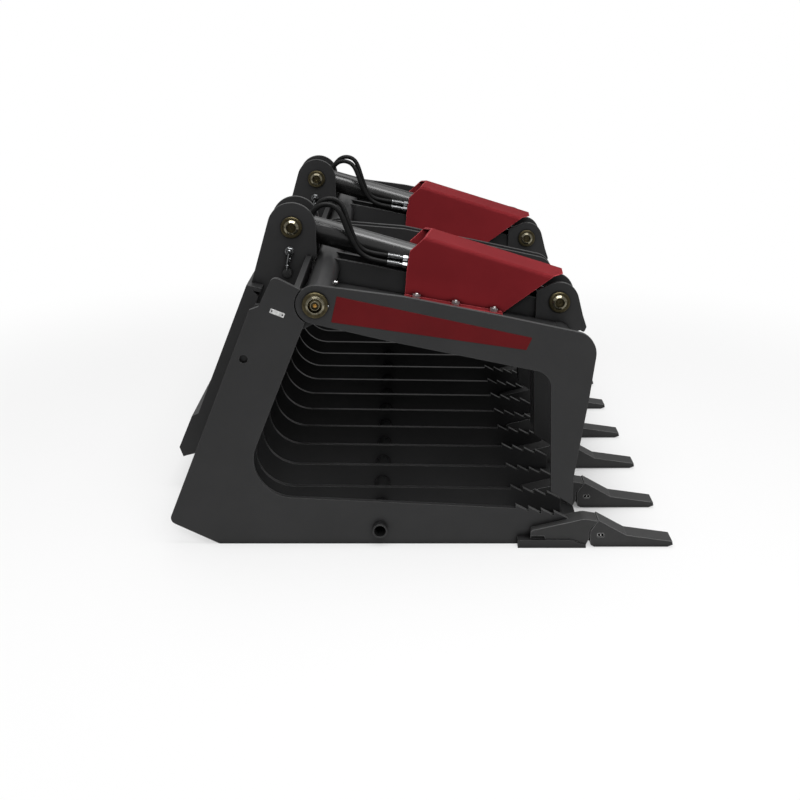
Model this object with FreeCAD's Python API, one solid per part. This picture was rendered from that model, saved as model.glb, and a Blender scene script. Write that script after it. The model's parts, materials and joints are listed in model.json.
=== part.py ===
import FreeCAD, Part
import math
import os

from FreeCAD import Vector

# Skeleton grapple for a skid-steer loader: a bar-floored bucket with two hydraulic lids.
# Millimetres. +X is the tooth side, +Y the machine's left, +Z up, and the bucket stands on Z = 0.
# The lids are shown closed. Every profile is drawn in the XZ plane and given its width along Y.

# Plate stock and running clearances
PLATE = 12.7
FIT = 0.05
GAP = 0.5

# Bucket frame
TINE_COUNT = 11
TINE_PITCH = 152.4
POST_TILT = 22.0
POST_WIDTH = 121.6
HEEL_X = -554.5
HEEL_Z = 55.0
HEEL_R = 15.0
SOLE_REAR_X = -442.0
SOLE_FRONT_X = 236.0
SOLE_R = 10.0
RAIL_TOP_Z = 98.0
RAIL_FALL = 0.05
TINE_TOP_Z = 80.6
TINE_FALL = 0.014
THROAT_R = 88.0
NOSE_X = 350.2

# Saw-toothed front of the tines and side plates
SAW_X = 231.4
SAW_PITCH = 28.8
SAW_COUNT = 4
SAW_STEP = 10.3
SAW_DROP = 15.5
SAW_RISE = 7.8

# Cutting edge, bucket teeth and the weld-on adapters that carry them
EDGE_T = 19.0
EDGE_LIP_Z = 5.5
EDGE_BEVEL = 34.0
EDGE_FRONT_X = 390.0
EDGE_OVERHANG = 25.4
TOOTH_W = 54.0
TOOTH_SPACING = (240.0, 280.0, 253.0)
FIRST_TOOTH_INSET = 4.4
TOOTH_X = 401.0
TOOTH_REACH = 186.0
TOOTH_SOLE_Z = 2.0
TOOTH_HEEL_Z = 6.3
TOOTH_BACK_Z = 40.8
TOOTH_BULGE = 1.5
TOOTH_SOLE_RAMP = 8.0
TOOTH_TIP_RAMP = 12.0
TOOTH_CROWN = 16.0
TOOTH_CROWN_Z = 66.0
TOOTH_WAIST = 80.5
TOOTH_WAIST_Z = 30.0
TOOTH_TIP_Z = 15.3
TOOTH_TIP_T = 8.3
TOOTH_SEAM = 2.2
PIN_INSET = 22.0
PIN_HEIGHT = 30.5
TOOTH_PIN_R = 5.6
TOOTH_PIN_SPREAD = 3.1
ADAPTER_W = 51.0
ADAPTER_REAR_X = 265.0
ADAPTER_REAR_Z = 40.5
ADAPTER_SLOPE_R = 6.0
ADAPTER_TOP_X = 385.0
ADAPTER_TOP_Z = 69.0
ADAPTER_TOP_R = 30.0
ADAPTER_HEEL_LIFT = 8.5
ADAPTER_HEEL_LEN = 30.0
ADAPTER_PAD_INSET = 5.0
ADAPTER_NOSE = 48.0
ADAPTER_NOSE_W = 30.0
ADAPTER_NOSE_T = 36.0
ADAPTER_NOSE_TIP_T = 10.0
ADAPTER_NOSE_Z = 12.0

# Cross tubes and plates of the frame
BOTTOM_TUBE_X = -76.0
BOTTOM_TUBE_Z = 37.0
BOTTOM_TUBE_D = 33.4
BOTTOM_TUBE_WALL = 3.4
BOTTOM_TUBE_PROUD = 17.0
REAR_ROD_X = -372.0
REAR_ROD_Z = 436.0
REAR_ROD_D = 19.0
REAR_ROD_RECESS = 9.0
CROSS_PLATE_H = 100.0
CROSS_PLATE_RISE = 34.0
CROSS_TUBE_GAP = 2.75

# Loader attach plate
ATTACH_HALF_W = 565.0
ATTACH_T = 9.5
ATTACH_STANDOFF = 27.5
ATTACH_TOP_Z = 527.0
ATTACH_BEND_Z = 201.0
ATTACH_FLANGE = 33.0
FLANGE_DROP = 18.0
FLANGE_LIP = 10.0
LIP_STEP = 16.5
LIP_STEP_DROP = 7.0
LIP_DROP = 82.0
LIP_LEAN = 35.1
LIP_FOOT = 24.7
LIP_KICK = 41.5
LIP_TOE = 9.0
SLOT_Y = 440.0
SLOT_LEN = 70.0
SLOT_H = 16.0
TINE_PAD_Z = 222.0
ATTACH_TINE_REACH = 3

# Hinge line and hydraulic pin centres
HINGE_X = -213.0
HINGE_Z = 557.0
BASE_PIN_X = -295.0
BASE_PIN_Z = 660.0
ROD_PIN_X = 361.3
ROD_PIN_Z = 475.0
PIN_D = 31.75
PIN_HEAD_T = 8.0
PIN_TAIL = 6.0
PIN_DISH = 3.0
PIN_CHAMFER = 2.0
HINGE_HEAD_D = 57.0
PIN_HEAD_D = 52.0
BUSH_D = 44.4
EAR_CLEAR_R = 45.5
EAR_FRONT_RISE = 33.0
EAR_TOP_X = -303.0
EAR_TOP_Z = 620.0
EAR_REAR_X = -336.0
EAR_REAR_Z = 553.0
EAR_R = 14.0
EAR_LOW_TURN = 58.0
EAR_NECK_DROP = 8.0
LUG_T = 19.0
LUG_R = 38.0
LUG_WELD = 6.0

# Cylinder towers, set a whole number of tine pitches from the middle
TOWER_PITCHES = 3
TOWER_GAP = 101.2
TOWER_R = 59.0
TOWER_FOOT_Z = 430.0
TOWER_FOOT_X = -290.0
TOWER_REAR_X = -397.0
TOWER_FOOT_R = 20.0
TUBE_CLEAR = 5.25

# Lids
LID_GAP = 38.0
HUB_R = 42.5
HUB_CLEAR = 1.0
HUB_TO_RAIL = 155.0
LID_RAIL_Z = 464.9
LID_RAIL_FALL = 0.208
LID_TOP_REAR_X = -22.6
LID_TOP_REAR_Z = 574.6
LID_TOP_MID_X = 186.0
LID_TOP_MID_Z = 533.0
LID_NOSE_X = 404.0
LID_NOSE_Z = 486.2
LID_NOSE_R = 50.0
LID_KNEE_X = 387.0
LID_KNEE_Z = 347.0
LID_SHIN_X = 359.4
LID_SHIN_Z = 161.0
LID_TIP_Z = 93.4
LID_TIP_RISE = 33.3
LID_POST_W = 49.5
LID_POST_TAPER = 9.2
LID_THROAT_R = 38.0
TORQUE_TUBE_D = 63.5
TORQUE_TUBE_WALL = 6.35
FRONT_TUBE_X = 359.0
FRONT_TUBE_Z = 394.0
SKIN_T = 6.35
SKIN_TOP_Z = 487.8
SKIN_FALL = 0.18
SKIN_REAR = 8.0
SKIN_FRONT = 6.0
RIB_TOP_Z = 543.4
RIB_TOP_FALL = 0.198
RIB_REAR = 13.0
RIB_UNDER_LUG = 26.0
ROD_LUG_R = 49.0
ROD_LUG_BACK = 57.0
ROD_LUG_RISE = 28.0
ROD_LUG_CHIN = 59.3
ROD_LUG_CHIN_DROP = 33.0
ROD_LUG_TOE = 69.7
ROD_LUG_TOE_DROP = 63.5
ROD_LUG_SOLE_DROP = 77.0
ROD_LUG_HEEL = 54.2
ROD_LUG_HEEL_DROP = 72.0

# Cylinder guards
GUARD_HALF_W = 73.0
GUARD_T = 4.8
GUARD_BEND_R = 11.0
GUARD_RISE = 15.5
GUARD_TOP_Z = 646.6
GUARD_FALL = 0.309
GUARD_REAR_X = -20.3
GUARD_HEEL_X = 219.0
GUARD_EAVE_REAR_X = 30.2
GUARD_EAVE_FRONT_X = 344.7
GUARD_RAKE = 27.0
GUARD_SHOULDER = 12.9
GUARD_SHOULDER_DROP = 34.0
GUARD_WAIST = 4.9
GUARD_WAIST_DROP = 82.0
GUARD_FLANGE = 28.0
GUARD_BOLT_X = (7.7, 103.4, 197.5)
BOLT_D = 10.0
BOLT_HOLE_D = 10.8
BOLT_HEAD_D = 18.0
BOLT_HEAD_H = 8.0

# Hydraulic cylinders
BARREL_D = 63.5
BORE_D = 50.8
ROD_D = 31.75
EYE_R = 46.0
EYE_W = 50.0
EYE_BORE_R = 30.4
GLAND_FACE = 495.0
GLAND_LEN = 22.0
GLAND_LIP = 7.0
GLAND_D = 57.5
BARREL_START = 30.0
BORE_START = 66.0
PISTON_FROM = 435.0
PISTON_LEN = 32.0
ROD_EYE_R = 32.0

# Hoses and their fittings
HOSE_D = 12.7
FERRULE_D = 15.0
FERRULE_LEN = 54.8
FERRULE_SHELL = 0.55
PORT_LEN = 31.0
PORT_H = 34.0
PORT_BELOW = 9.5
INLET_BLOCK = 20.0
INLET_WALL = 2.6
INLET_BOSS_D = 14.0
HOSE_PORT_DROP = 61.0
HOSE_PORT_BACK = 8.0
HOSE_PORT_HEX = 24.0
HOSE_PORT_HEX_T = 9.0
HOSE_PORT_D = 16.0
HOSE_PORT_REACH = 22.0
HOSE_PORT_LEN = 34.0
HOSE_CAP_D = 22.0
HOSE_CAP_LEN = 22.0
PORT_LEAN = 6.7

# Derived places
TILT = math.tan(math.radians(POST_TILT))
HALF_WIDTH = TINE_PITCH * (TINE_COUNT + 1) / 2.0
SIDE_INNER = HALF_WIDTH - PLATE
TOWER_Y = TOWER_PITCHES * TINE_PITCH
ATTACH_SHIFT = ATTACH_STANDOFF / math.cos(math.radians(POST_TILT))
CYL_X = ROD_PIN_X - BASE_PIN_X
CYL_Z = ROD_PIN_Z - BASE_PIN_Z
CYL_LEN = math.hypot(CYL_X, CYL_Z)
CYL_ALONG = Vector(CYL_X / CYL_LEN, 0.0, CYL_Z / CYL_LEN)
PIN_R = PIN_D / 2.0
TORQUE_R = TORQUE_TUBE_D / 2.0
CLEVIS_OUT = TOWER_GAP / 2.0 + PLATE
LID_OUTER_Y = SIDE_INNER + GAP
LID_INNER_Y = LID_GAP / 2.0
CROSS_FRONT_X = HINGE_X - TORQUE_R - CROSS_TUBE_GAP
CROSS_REAR_X = CROSS_FRONT_X - PLATE
CROSS_TOP = HINGE_Z + CROSS_PLATE_RISE
CROSS_FOOT = CROSS_TOP - CROSS_PLATE_H
INNER_HUB_R = HINGE_X - CROSS_FRONT_X - HUB_CLEAR
ROD_LUG_BACK_X = ROD_PIN_X - ROD_LUG_BACK
HINGE = (HINGE_X, HINGE_Z)
BASE_PIN = (BASE_PIN_X, BASE_PIN_Z)
ROD_PIN = (ROD_PIN_X, ROD_PIN_Z)
FRONT_TUBE = (FRONT_TUBE_X, FRONT_TUBE_Z)

# Hose routes on the right cylinder: X, distance out from the cylinder's middle plane, Z
HOSE_A = ((-248.5, -36, 661), (-248.5, -36, 683), (-238.3, -36, 701), (-220.7, -36, 711.5),
          (-200.3, -37, 711), (-182.7, -40, 701), (-172, -45, 683), (-162, -51, 655),
          (-150.5, -53, 627), (-136.5, -53, 602), (-118.5, -53, 586), (-93, -53, 576.5), (-64, -53, 571.7))
HOSE_B = ((-246, -22, 692), (-230.5, -22, 712.6), (-213, -22, 723), (-193, -23, 723),
          (-176, -26, 713), (-166, -32, 695), (-158, -38.5, 670), (-149, -39.7, 642),
          (-138.5, -39.7, 617), (-123, -39.7, 600), (-99, -39.7, 591.5), (-62, -39.7, 586))


def rear_x(z):
    """Rear edge of the side plates at height z."""
    return HEEL_X + (z - HEEL_Z) * TILT


def inner_x(z):
    """Inner edge of the rear posts at height z."""
    return rear_x(z) + POST_WIDTH / math.cos(math.radians(POST_TILT))


def attach_x(z):
    """Front face of the attach plate at height z."""
    return rear_x(z) - ATTACH_SHIFT


def rail_z(x):
    """Lower edge of the lid rails."""
    return LID_RAIL_Z - LID_RAIL_FALL * x


def skin_z(x):
    """Top face of the lid skin."""
    return SKIN_TOP_Z - SKIN_FALL * x


def guard_z(x):
    """Eave of the cylinder guard."""
    return GUARD_TOP_Z - GUARD_FALL * x


def at(x, z, y=0.0):
    return Vector(x, y, z)


def tangent(centre, radius, point, side):
    """Where a line from point touches a circle; side +1 is its left as seen from the circle's centre."""
    dx = point[0] - centre[0]
    dz = point[1] - centre[1]
    turn = side * math.acos(radius / math.hypot(dx, dz))
    angle = math.atan2(dz, dx) + turn
    return (centre[0] + radius * math.cos(angle), centre[1] + radius * math.sin(angle))


def outline(points):
    """Closed wire in the XZ plane. (x, z) is a corner, (x, z, r) a rounded one, and
    (x, z, "arc", through_x, through_z) starts an arc that ends at the next point."""
    count = len(points)
    starts = []
    ends = []
    edges = []
    for index, item in enumerate(points):
        here = at(item[0], item[1])
        if len(item) == 3:
            before = points[index - 1]
            after = points[(index + 1) % count]
            back = at(before[0], before[1]) - here
            on = at(after[0], after[1]) - here
            back.normalize()
            on.normalize()
            half = back.getAngle(on) / 2.0
            cut = item[2] / math.tan(half)
            middle = back + on
            middle.normalize()
            first = here + back * cut
            last = here + on * cut
            centre = here + middle * (item[2] / math.sin(half))
            edges.append(Part.Arc(first, centre - middle * item[2], last).toShape())
            starts.append(first)
            ends.append(last)
        else:
            starts.append(here)
            ends.append(here)
    for index, item in enumerate(points):
        start = ends[index]
        end = starts[(index + 1) % count]
        if len(item) == 5:
            edges.append(Part.Arc(start, at(item[3], item[4]), end).toShape())
        elif start.distanceToPoint(end) > 1e-6:
            edges.append(Part.LineSegment(start, end).toShape())
    return Part.Wire(Part.__sortEdges__(edges))


def prism(points, y_low, y_high):
    face = Part.Face(outline(points))
    face.translate(at(0, 0, y_low))
    return face.extrude(at(0, 0, y_high - y_low))


def rod(centre, radius, y_low, y_high):
    return Part.makeCylinder(radius, y_high - y_low, at(centre[0], centre[1], y_low), Vector(0, 1, 0))


def pipe(centre, radius, wall, y_low, y_high):
    return rod(centre, radius, y_low, y_high).cut(rod(centre, radius - wall, y_low, y_high))


def along(shape_radius, start, length, y=0.0):
    """Round bar on the cylinder's centre line, from start to start + length past the base pin."""
    foot = at(BASE_PIN_X, BASE_PIN_Z, y) + CYL_ALONG * start
    return Part.makeCylinder(shape_radius, length, foot, CYL_ALONG)


def mirrored(shape):
    return shape.mirror(Vector(0, 0, 0), Vector(0, 1, 0))


def both(shape):
    return [shape, mirrored(shape)]


def save(name, *shapes):
    shape = shapes[0] if len(shapes) == 1 else Part.makeCompound(list(shapes))
    if len(shapes) == 1 and len(shape.Solids) == 1:
        shape = shape.Solids[0]
    shape.exportStep("parts/" + name + ".step")
    volumes = [round(solid.Volume / 1000.0, 1) for solid in shape.Solids]
    print(name, "valid" if shape.isValid() else "INVALID", len(volumes), "solids, cc", sum(volumes))


def saw(foot_z):
    """Points of the toothed front edge: each tooth steps up and then slopes down to the next."""
    points = [(SAW_X, foot_z)]
    crest_z = foot_z + SAW_RISE
    for index in range(SAW_COUNT):
        crest_x = SAW_X + index * SAW_PITCH
        points.append((crest_x, crest_z))
        if index < SAW_COUNT - 1:
            points.append((crest_x + SAW_PITCH, crest_z - SAW_DROP))
            crest_z -= SAW_DROP - SAW_STEP
    points.append((NOSE_X, crest_z - SAW_DROP / SAW_PITCH * (NOSE_X - crest_x)))
    return points


def floor_line(top_z, fall):
    """Underside from the heel to the notch over the cutting edge, then back along the toothed top
    edge to the rounded corner under the rear post."""
    corner_z = (top_z - fall * inner_x(0)) / (1 + fall * TILT)
    return [(HEEL_X, HEEL_Z, HEEL_R), (SOLE_REAR_X, 0, SOLE_R), (SOLE_FRONT_X, 0),
            (SOLE_FRONT_X, EDGE_T), (NOSE_X, EDGE_T)] + saw(top_z - fall * SAW_X)[::-1] + [
                (inner_x(corner_z), corner_z, THROAT_R)]


def drilled(plate, y_low, y_high):
    """Plate with its holes for the bottom tube and the rear rod."""
    tube = rod((BOTTOM_TUBE_X, BOTTOM_TUBE_Z), BOTTOM_TUBE_D / 2, y_low, y_high)
    return plate.cut([tube, rod((REAR_ROD_X, REAR_ROD_Z), REAR_ROD_D / 2, y_low, y_high)])


def side_plate():
    """Floor bar, rear post and the ear behind the lid's hub, in one plate."""
    low_turn = math.radians(EAR_LOW_TURN)
    low = (HINGE_X - EAR_CLEAR_R * math.cos(low_turn), HINGE_Z - EAR_CLEAR_R * math.sin(low_turn))
    high = (HINGE_X - math.sqrt(EAR_CLEAR_R ** 2 - EAR_FRONT_RISE ** 2), HINGE_Z + EAR_FRONT_RISE)
    neck_z = low[1] - EAR_NECK_DROP
    step_z = EAR_REAR_Z - EAR_NECK_DROP
    points = floor_line(RAIL_TOP_Z, RAIL_FALL)
    points += [(inner_x(neck_z), neck_z), (low[0], low[1], "arc", HINGE_X - EAR_CLEAR_R, HINGE_Z)]
    points += [high, (EAR_TOP_X, EAR_TOP_Z, EAR_R), (EAR_REAR_X, EAR_REAR_Z), (rear_x(step_z), step_z)]
    return drilled(prism(points, -HALF_WIDTH, -SIDE_INNER), -HALF_WIDTH, -SIDE_INNER)


def tine(y):
    """Floor bar whose rear post runs up to the cross plate; the middle ones also carry the attach plate."""
    points = floor_line(TINE_TOP_Z, TINE_FALL) + [(inner_x(CROSS_FOOT), CROSS_FOOT)]
    if abs(y) < TINE_PITCH * (ATTACH_TINE_REACH + 0.5):
        pad_foot_z = TINE_PAD_Z - ATTACH_SHIFT
        points += [(attach_x(CROSS_FOOT), CROSS_FOOT), (attach_x(TINE_PAD_Z), TINE_PAD_Z),
                   (rear_x(pad_foot_z), pad_foot_z)]
    else:
        points += [(rear_x(CROSS_FOOT), CROSS_FOOT)]
    return drilled(prism(points, y - PLATE / 2, y + PLATE / 2), y - PLATE / 2, y + PLATE / 2)


def cutting_edge():
    points = [(SOLE_FRONT_X, 0), (EDGE_FRONT_X, 0), (EDGE_FRONT_X, EDGE_LIP_Z),
              (EDGE_FRONT_X - EDGE_BEVEL, EDGE_T), (SOLE_FRONT_X, EDGE_T)]
    return prism(points, -HALF_WIDTH - EDGE_OVERHANG, HALF_WIDTH + EDGE_OVERHANG)


def tooth_places():
    places = [FIRST_TOOTH_INSET - HALF_WIDTH]
    for step in TOOTH_SPACING:
        places.append(places[-1] + step)
    return places + [-y for y in places[::-1]]


def nose_outline():
    """Tapered nose of the adapter, which the tooth's socket fits over."""
    root = TOOTH_X - 2 * TOOTH_SEAM
    tip = TOOTH_X + ADAPTER_NOSE
    top_z = ADAPTER_NOSE_Z + ADAPTER_NOSE_T
    return [(root, ADAPTER_NOSE_Z), (tip, ADAPTER_NOSE_Z), (tip, ADAPTER_NOSE_Z + ADAPTER_NOSE_TIP_T),
            (TOOTH_X + TOOTH_CROWN, top_z), (root, top_z)]


def pin_bore(y, radius, half_length):
    """Bore or pin of two overlapping rounds, centred on the tooth at y."""
    bars = []
    for shift in (-TOOTH_PIN_SPREAD, TOOTH_PIN_SPREAD):
        centre = (TOOTH_X + PIN_INSET + shift, PIN_HEIGHT)
        bars.append(rod(centre, radius, y - half_length, y + half_length))
    return bars[0].fuse(bars[1]).removeSplitter()


def tooth_back():
    """Rear edge of the tooth's cheeks, from the heel up to the crown."""
    back = TOOTH_X - TOOTH_BULGE
    return [(TOOTH_X, TOOTH_HEEL_Z), (back, TOOTH_HEEL_Z + TOOTH_CROWN), (back, TOOTH_BACK_Z),
            (TOOTH_X + TOOTH_CROWN, TOOTH_CROWN_Z)]


def adapter(y, plates, edge):
    """Weld-on shank that straddles the cutting edge and any plate that it meets, with a tapered nose."""
    front = [(x - TOOTH_SEAM, z) for x, z in tooth_back()[1:]]
    under = EDGE_T + ADAPTER_HEEL_LIFT
    heel = ADAPTER_REAR_X + ADAPTER_HEEL_LEN
    shell = [(ADAPTER_REAR_X, under), (heel, under), (heel + ADAPTER_HEEL_LIFT, EDGE_T / 2),
             (EDGE_FRONT_X - ADAPTER_HEEL_LIFT, EDGE_LIP_Z), (EDGE_FRONT_X, EDGE_LIP_Z)] + front[:2]
    shell += [(front[2][0], front[2][1] - TOOTH_SEAM), (ADAPTER_TOP_X, ADAPTER_TOP_Z, ADAPTER_TOP_R),
              (ADAPTER_REAR_X, ADAPTER_REAR_Z, ADAPTER_SLOPE_R)]
    body = prism(shell, y - ADAPTER_W / 2, y + ADAPTER_W / 2)
    pad_half = ADAPTER_W / 2 - ADAPTER_PAD_INSET
    pad_front = heel + 2 * ADAPTER_HEEL_LIFT
    pad = prism([(ADAPTER_REAR_X, EDGE_T), (pad_front, EDGE_T), (pad_front, under + GAP),
                 (ADAPTER_REAR_X, under + GAP)], y - pad_half, y + pad_half)
    nose = prism(nose_outline(), y - ADAPTER_NOSE_W / 2, y + ADAPTER_NOSE_W / 2)
    body = body.fuse([pad, nose]).cut([edge, pin_bore(y, TOOTH_PIN_R + FIT, TOOTH_W)] + plates)
    return body.removeSplitter()


def tooth(y):
    """Cast tooth: crown, waist and chisel tip, hollowed by a socket for the adapter's nose."""
    tip = TOOTH_X + TOOTH_REACH
    blade = tooth_back() + [(TOOTH_X + TOOTH_WAIST, TOOTH_WAIST_Z), (tip - TOOTH_BULGE, TOOTH_TIP_Z),
                            (tip, TOOTH_TIP_Z - TOOTH_TIP_T), (tip - TOOTH_TIP_RAMP, TOOTH_SOLE_Z),
                            (TOOTH_X + TOOTH_SOLE_RAMP, TOOTH_SOLE_Z)]
    body = prism(blade, y - TOOTH_W / 2, y + TOOTH_W / 2)
    socket = prism(nose_outline(), y - ADAPTER_NOSE_W / 2, y + ADAPTER_NOSE_W / 2)
    return body.cut([socket, pin_bore(y, TOOTH_PIN_R + FIT, TOOTH_W)])


def tooth_pin(y):
    return pin_bore(y, TOOTH_PIN_R, TOOTH_W / 2 - TOOTH_SEAM)


def attach_outline():
    """Bent profile: top flange, flat face, and the lower lip that the loader's wedges catch."""
    normal_x = ATTACH_T / math.cos(math.radians(POST_TILT))
    corner = ATTACH_T / 3
    top = (attach_x(ATTACH_TOP_Z) - normal_x, ATTACH_TOP_Z)
    bend = (attach_x(ATTACH_BEND_Z) - normal_x, ATTACH_BEND_Z)
    knee = (bend[0] - LIP_STEP, bend[1] - LIP_STEP_DROP)
    foot = (knee[0] - LIP_LEAN, knee[1] - LIP_DROP)
    toe = (foot[0] + LIP_TOE, foot[1] - LIP_FOOT)
    inner_bend_z = ATTACH_BEND_Z + 2 * corner
    inner_top_z = ATTACH_TOP_Z - FLANGE_DROP + 2 * corner
    return [top, bend, knee, foot, toe, (toe[0] + ATTACH_T, toe[1] + corner),
            (foot[0] + normal_x, foot[1] - corner), (knee[0] + normal_x, knee[1] - corner),
            (bend[0] + normal_x + corner, bend[1] - ATTACH_T), (attach_x(inner_bend_z), inner_bend_z),
            (attach_x(inner_top_z), inner_top_z), (top[0] + ATTACH_FLANGE, ATTACH_TOP_Z - FLANGE_DROP),
            (top[0] + ATTACH_FLANGE + corner, ATTACH_TOP_Z - FLANGE_DROP + FLANGE_LIP)]


def attach_plate():
    """Loader plate with an end gusset at each side and the two wedge slots in its lip."""
    points = attach_outline()
    top, bend, knee, foot, toe, toe_front = points[:6]
    web_top_z = ATTACH_TOP_Z - FLANGE_DROP - FLANGE_LIP
    gusset = [top, bend, knee, foot, toe, toe_front, (foot[0] + LIP_KICK, foot[1] - LIP_FOOT + LIP_TOE),
              (rear_x(knee[1]) - GAP, knee[1]), (rear_x(web_top_z) - GAP, web_top_z)]
    ends = prism(gusset, ATTACH_HALF_W - PLATE, ATTACH_HALF_W)
    plate = prism(points, -ATTACH_HALF_W, ATTACH_HALF_W).fuse([ends, mirrored(ends)])
    middle_x = (knee[0] + foot[0]) / 2
    middle_z = (knee[1] + foot[1]) / 2
    reach = LIP_LEAN + ATTACH_T
    for y in (-SLOT_Y, SLOT_Y):
        corner = at(middle_x - reach / 2, middle_z - SLOT_H / 2, y - SLOT_LEN / 2)
        plate = plate.cut(Part.makeBox(reach, SLOT_LEN, SLOT_H, corner))
    return plate.removeSplitter()


def tower_plate(y_low, cutters):
    """Tower side plate on the cylinder's middle plane, before it is moved to its tower."""
    rear_foot = (TOWER_REAR_X, ATTACH_TOP_Z - FLANGE_LIP / 2)
    waist_z = (TOWER_FOOT_Z + ATTACH_TOP_Z) / 2
    back = tangent(BASE_PIN, TOWER_R, rear_foot, -1)
    front_x = BASE_PIN_X + TOWER_R
    front = (front_x, BASE_PIN_Z, "arc", BASE_PIN_X, BASE_PIN_Z + TOWER_R)
    points = [front, back, rear_foot, (attach_x(waist_z), waist_z),
              (attach_x(TOWER_FOOT_Z), TOWER_FOOT_Z), (TOWER_FOOT_X, TOWER_FOOT_Z, TOWER_FOOT_R),
              (front_x, HINGE_Z - TORQUE_R - TOWER_FOOT_R, TOWER_FOOT_R / 2)]
    plate = prism(points, y_low, y_low + PLATE)
    return plate.cut(cutters)


def tower(y, cutters):
    half = TOWER_GAP / 2
    pin_hole = rod(BASE_PIN, PIN_R, y - CLEVIS_OUT, y + CLEVIS_OUT)
    return [tower_plate(y_low, cutters + [pin_hole]) for y_low in (y - half - PLATE, y + half)]


def hinge_lug(y_low):
    """Boss round the hinge pin with an arm that runs back to the cross plate."""
    top = (CROSS_FRONT_X, CROSS_TOP - LUG_WELD)
    foot = (CROSS_FRONT_X, CROSS_FOOT + LUG_WELD)
    up = (HINGE_X, HINGE_Z + LUG_R)
    down = tangent(HINGE, LUG_R, foot, 1)
    lug = prism([(down[0], down[1], "arc", HINGE_X + LUG_R, HINGE_Z), up, top, foot], y_low, y_low + LUG_T)
    return lug.cut(rod(HINGE, PIN_R, y_low - 1, y_low + LUG_T + 1))


def flanged_pin(centre, head_d, y_head, y_tail):
    """Pin with a chamfered flange head at y_head and its plain end at y_tail."""
    sign = 1 if y_tail > y_head else -1
    axis = Vector(0, sign, 0)
    start = at(centre[0], centre[1], y_head)
    head = Part.makeCylinder(head_d / 2, PIN_HEAD_T, start, axis)
    rim = [edge for edge in head.Edges if abs(edge.CenterOfMass.y - y_head) < PIN_CHAMFER / 2]
    head = head.makeChamfer(PIN_CHAMFER, rim)
    dish = Part.makeCone(head_d / 3 - PIN_DISH, head_d / 3 - 2 * PIN_DISH, PIN_DISH, start, axis)
    shank = Part.makeCylinder(PIN_R - FIT, abs(y_tail - y_head), start, axis)
    return head.fuse(shank).cut(dish).removeSplitter()


def headed_pin(centre, y):
    """Cylinder pin: flange head outside the near plate, keeper head outside the far one."""
    outer = CLEVIS_OUT + PIN_HEAD_T
    near = flanged_pin(centre, PIN_HEAD_D, y - outer, y)
    far = flanged_pin(centre, PIN_HEAD_D, y + outer, y)
    return near.fuse(far).removeSplitter()


def lid_profile(hub_r):
    """Lid plate: hub, rail over the load and the front post that closes on the floor's teeth."""
    top = tangent(HINGE, hub_r, (LID_TOP_REAR_X, LID_TOP_REAR_Z), 1)
    low_point = (HINGE_X + HUB_TO_RAIL, rail_z(HINGE_X + HUB_TO_RAIL))
    low = tangent(HINGE, hub_r, low_point, -1)
    inner_low_x = LID_SHIN_X - LID_POST_W
    inner_top_x = inner_low_x - LID_POST_TAPER
    return [(top[0], top[1], "arc", HINGE_X - hub_r, HINGE_Z), low, low_point,
            (inner_top_x, rail_z(inner_top_x), LID_THROAT_R), (inner_low_x, LID_TIP_Z + LID_TIP_RISE),
            (LID_SHIN_X, LID_TIP_Z), (LID_SHIN_X, LID_SHIN_Z), (LID_KNEE_X, LID_KNEE_Z),
            (LID_NOSE_X, LID_NOSE_Z, LID_NOSE_R), (LID_TOP_MID_X, LID_TOP_MID_Z),
            (LID_TOP_REAR_X, LID_TOP_REAR_Z)]


def lid_plate(y_low, hub_r):
    plate = prism(lid_profile(hub_r), y_low, y_low + PLATE)
    return plate.cut(rod(HINGE, BUSH_D / 2, y_low, y_low + PLATE))


def rib_profile():
    """Lid rib: deep under the cylinder, with a saddle on each tube and a post like the lid plates'."""
    top_x = HINGE_X + RIB_REAR
    foot_x = HINGE_X + SKIN_REAR
    end_x = ROD_LUG_BACK_X + RIB_UNDER_LUG
    inner_low_x = LID_SHIN_X - LID_POST_W
    inner_top_x = inner_low_x - LID_POST_TAPER
    return [(top_x, RIB_TOP_Z - RIB_TOP_FALL * top_x), (foot_x, rail_z(foot_x)),
            (inner_top_x, rail_z(inner_top_x), LID_THROAT_R), (inner_low_x, LID_TIP_Z + LID_TIP_RISE),
            (LID_SHIN_X, LID_TIP_Z), (LID_SHIN_X, LID_SHIN_Z), (LID_KNEE_X - SKIN_T / 2, LID_KNEE_Z),
            (FRONT_TUBE_X + TORQUE_R * 0.7, FRONT_TUBE_Z), (end_x, RIB_TOP_Z - RIB_TOP_FALL * end_x)]


def rib(y_low):
    y_high = y_low + PLATE
    tubes = [rod(HINGE, TORQUE_R, y_low, y_high), rod(FRONT_TUBE, TORQUE_R, y_low, y_high)]
    return prism(rib_profile(), y_low, y_high).cut(tubes)


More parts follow.
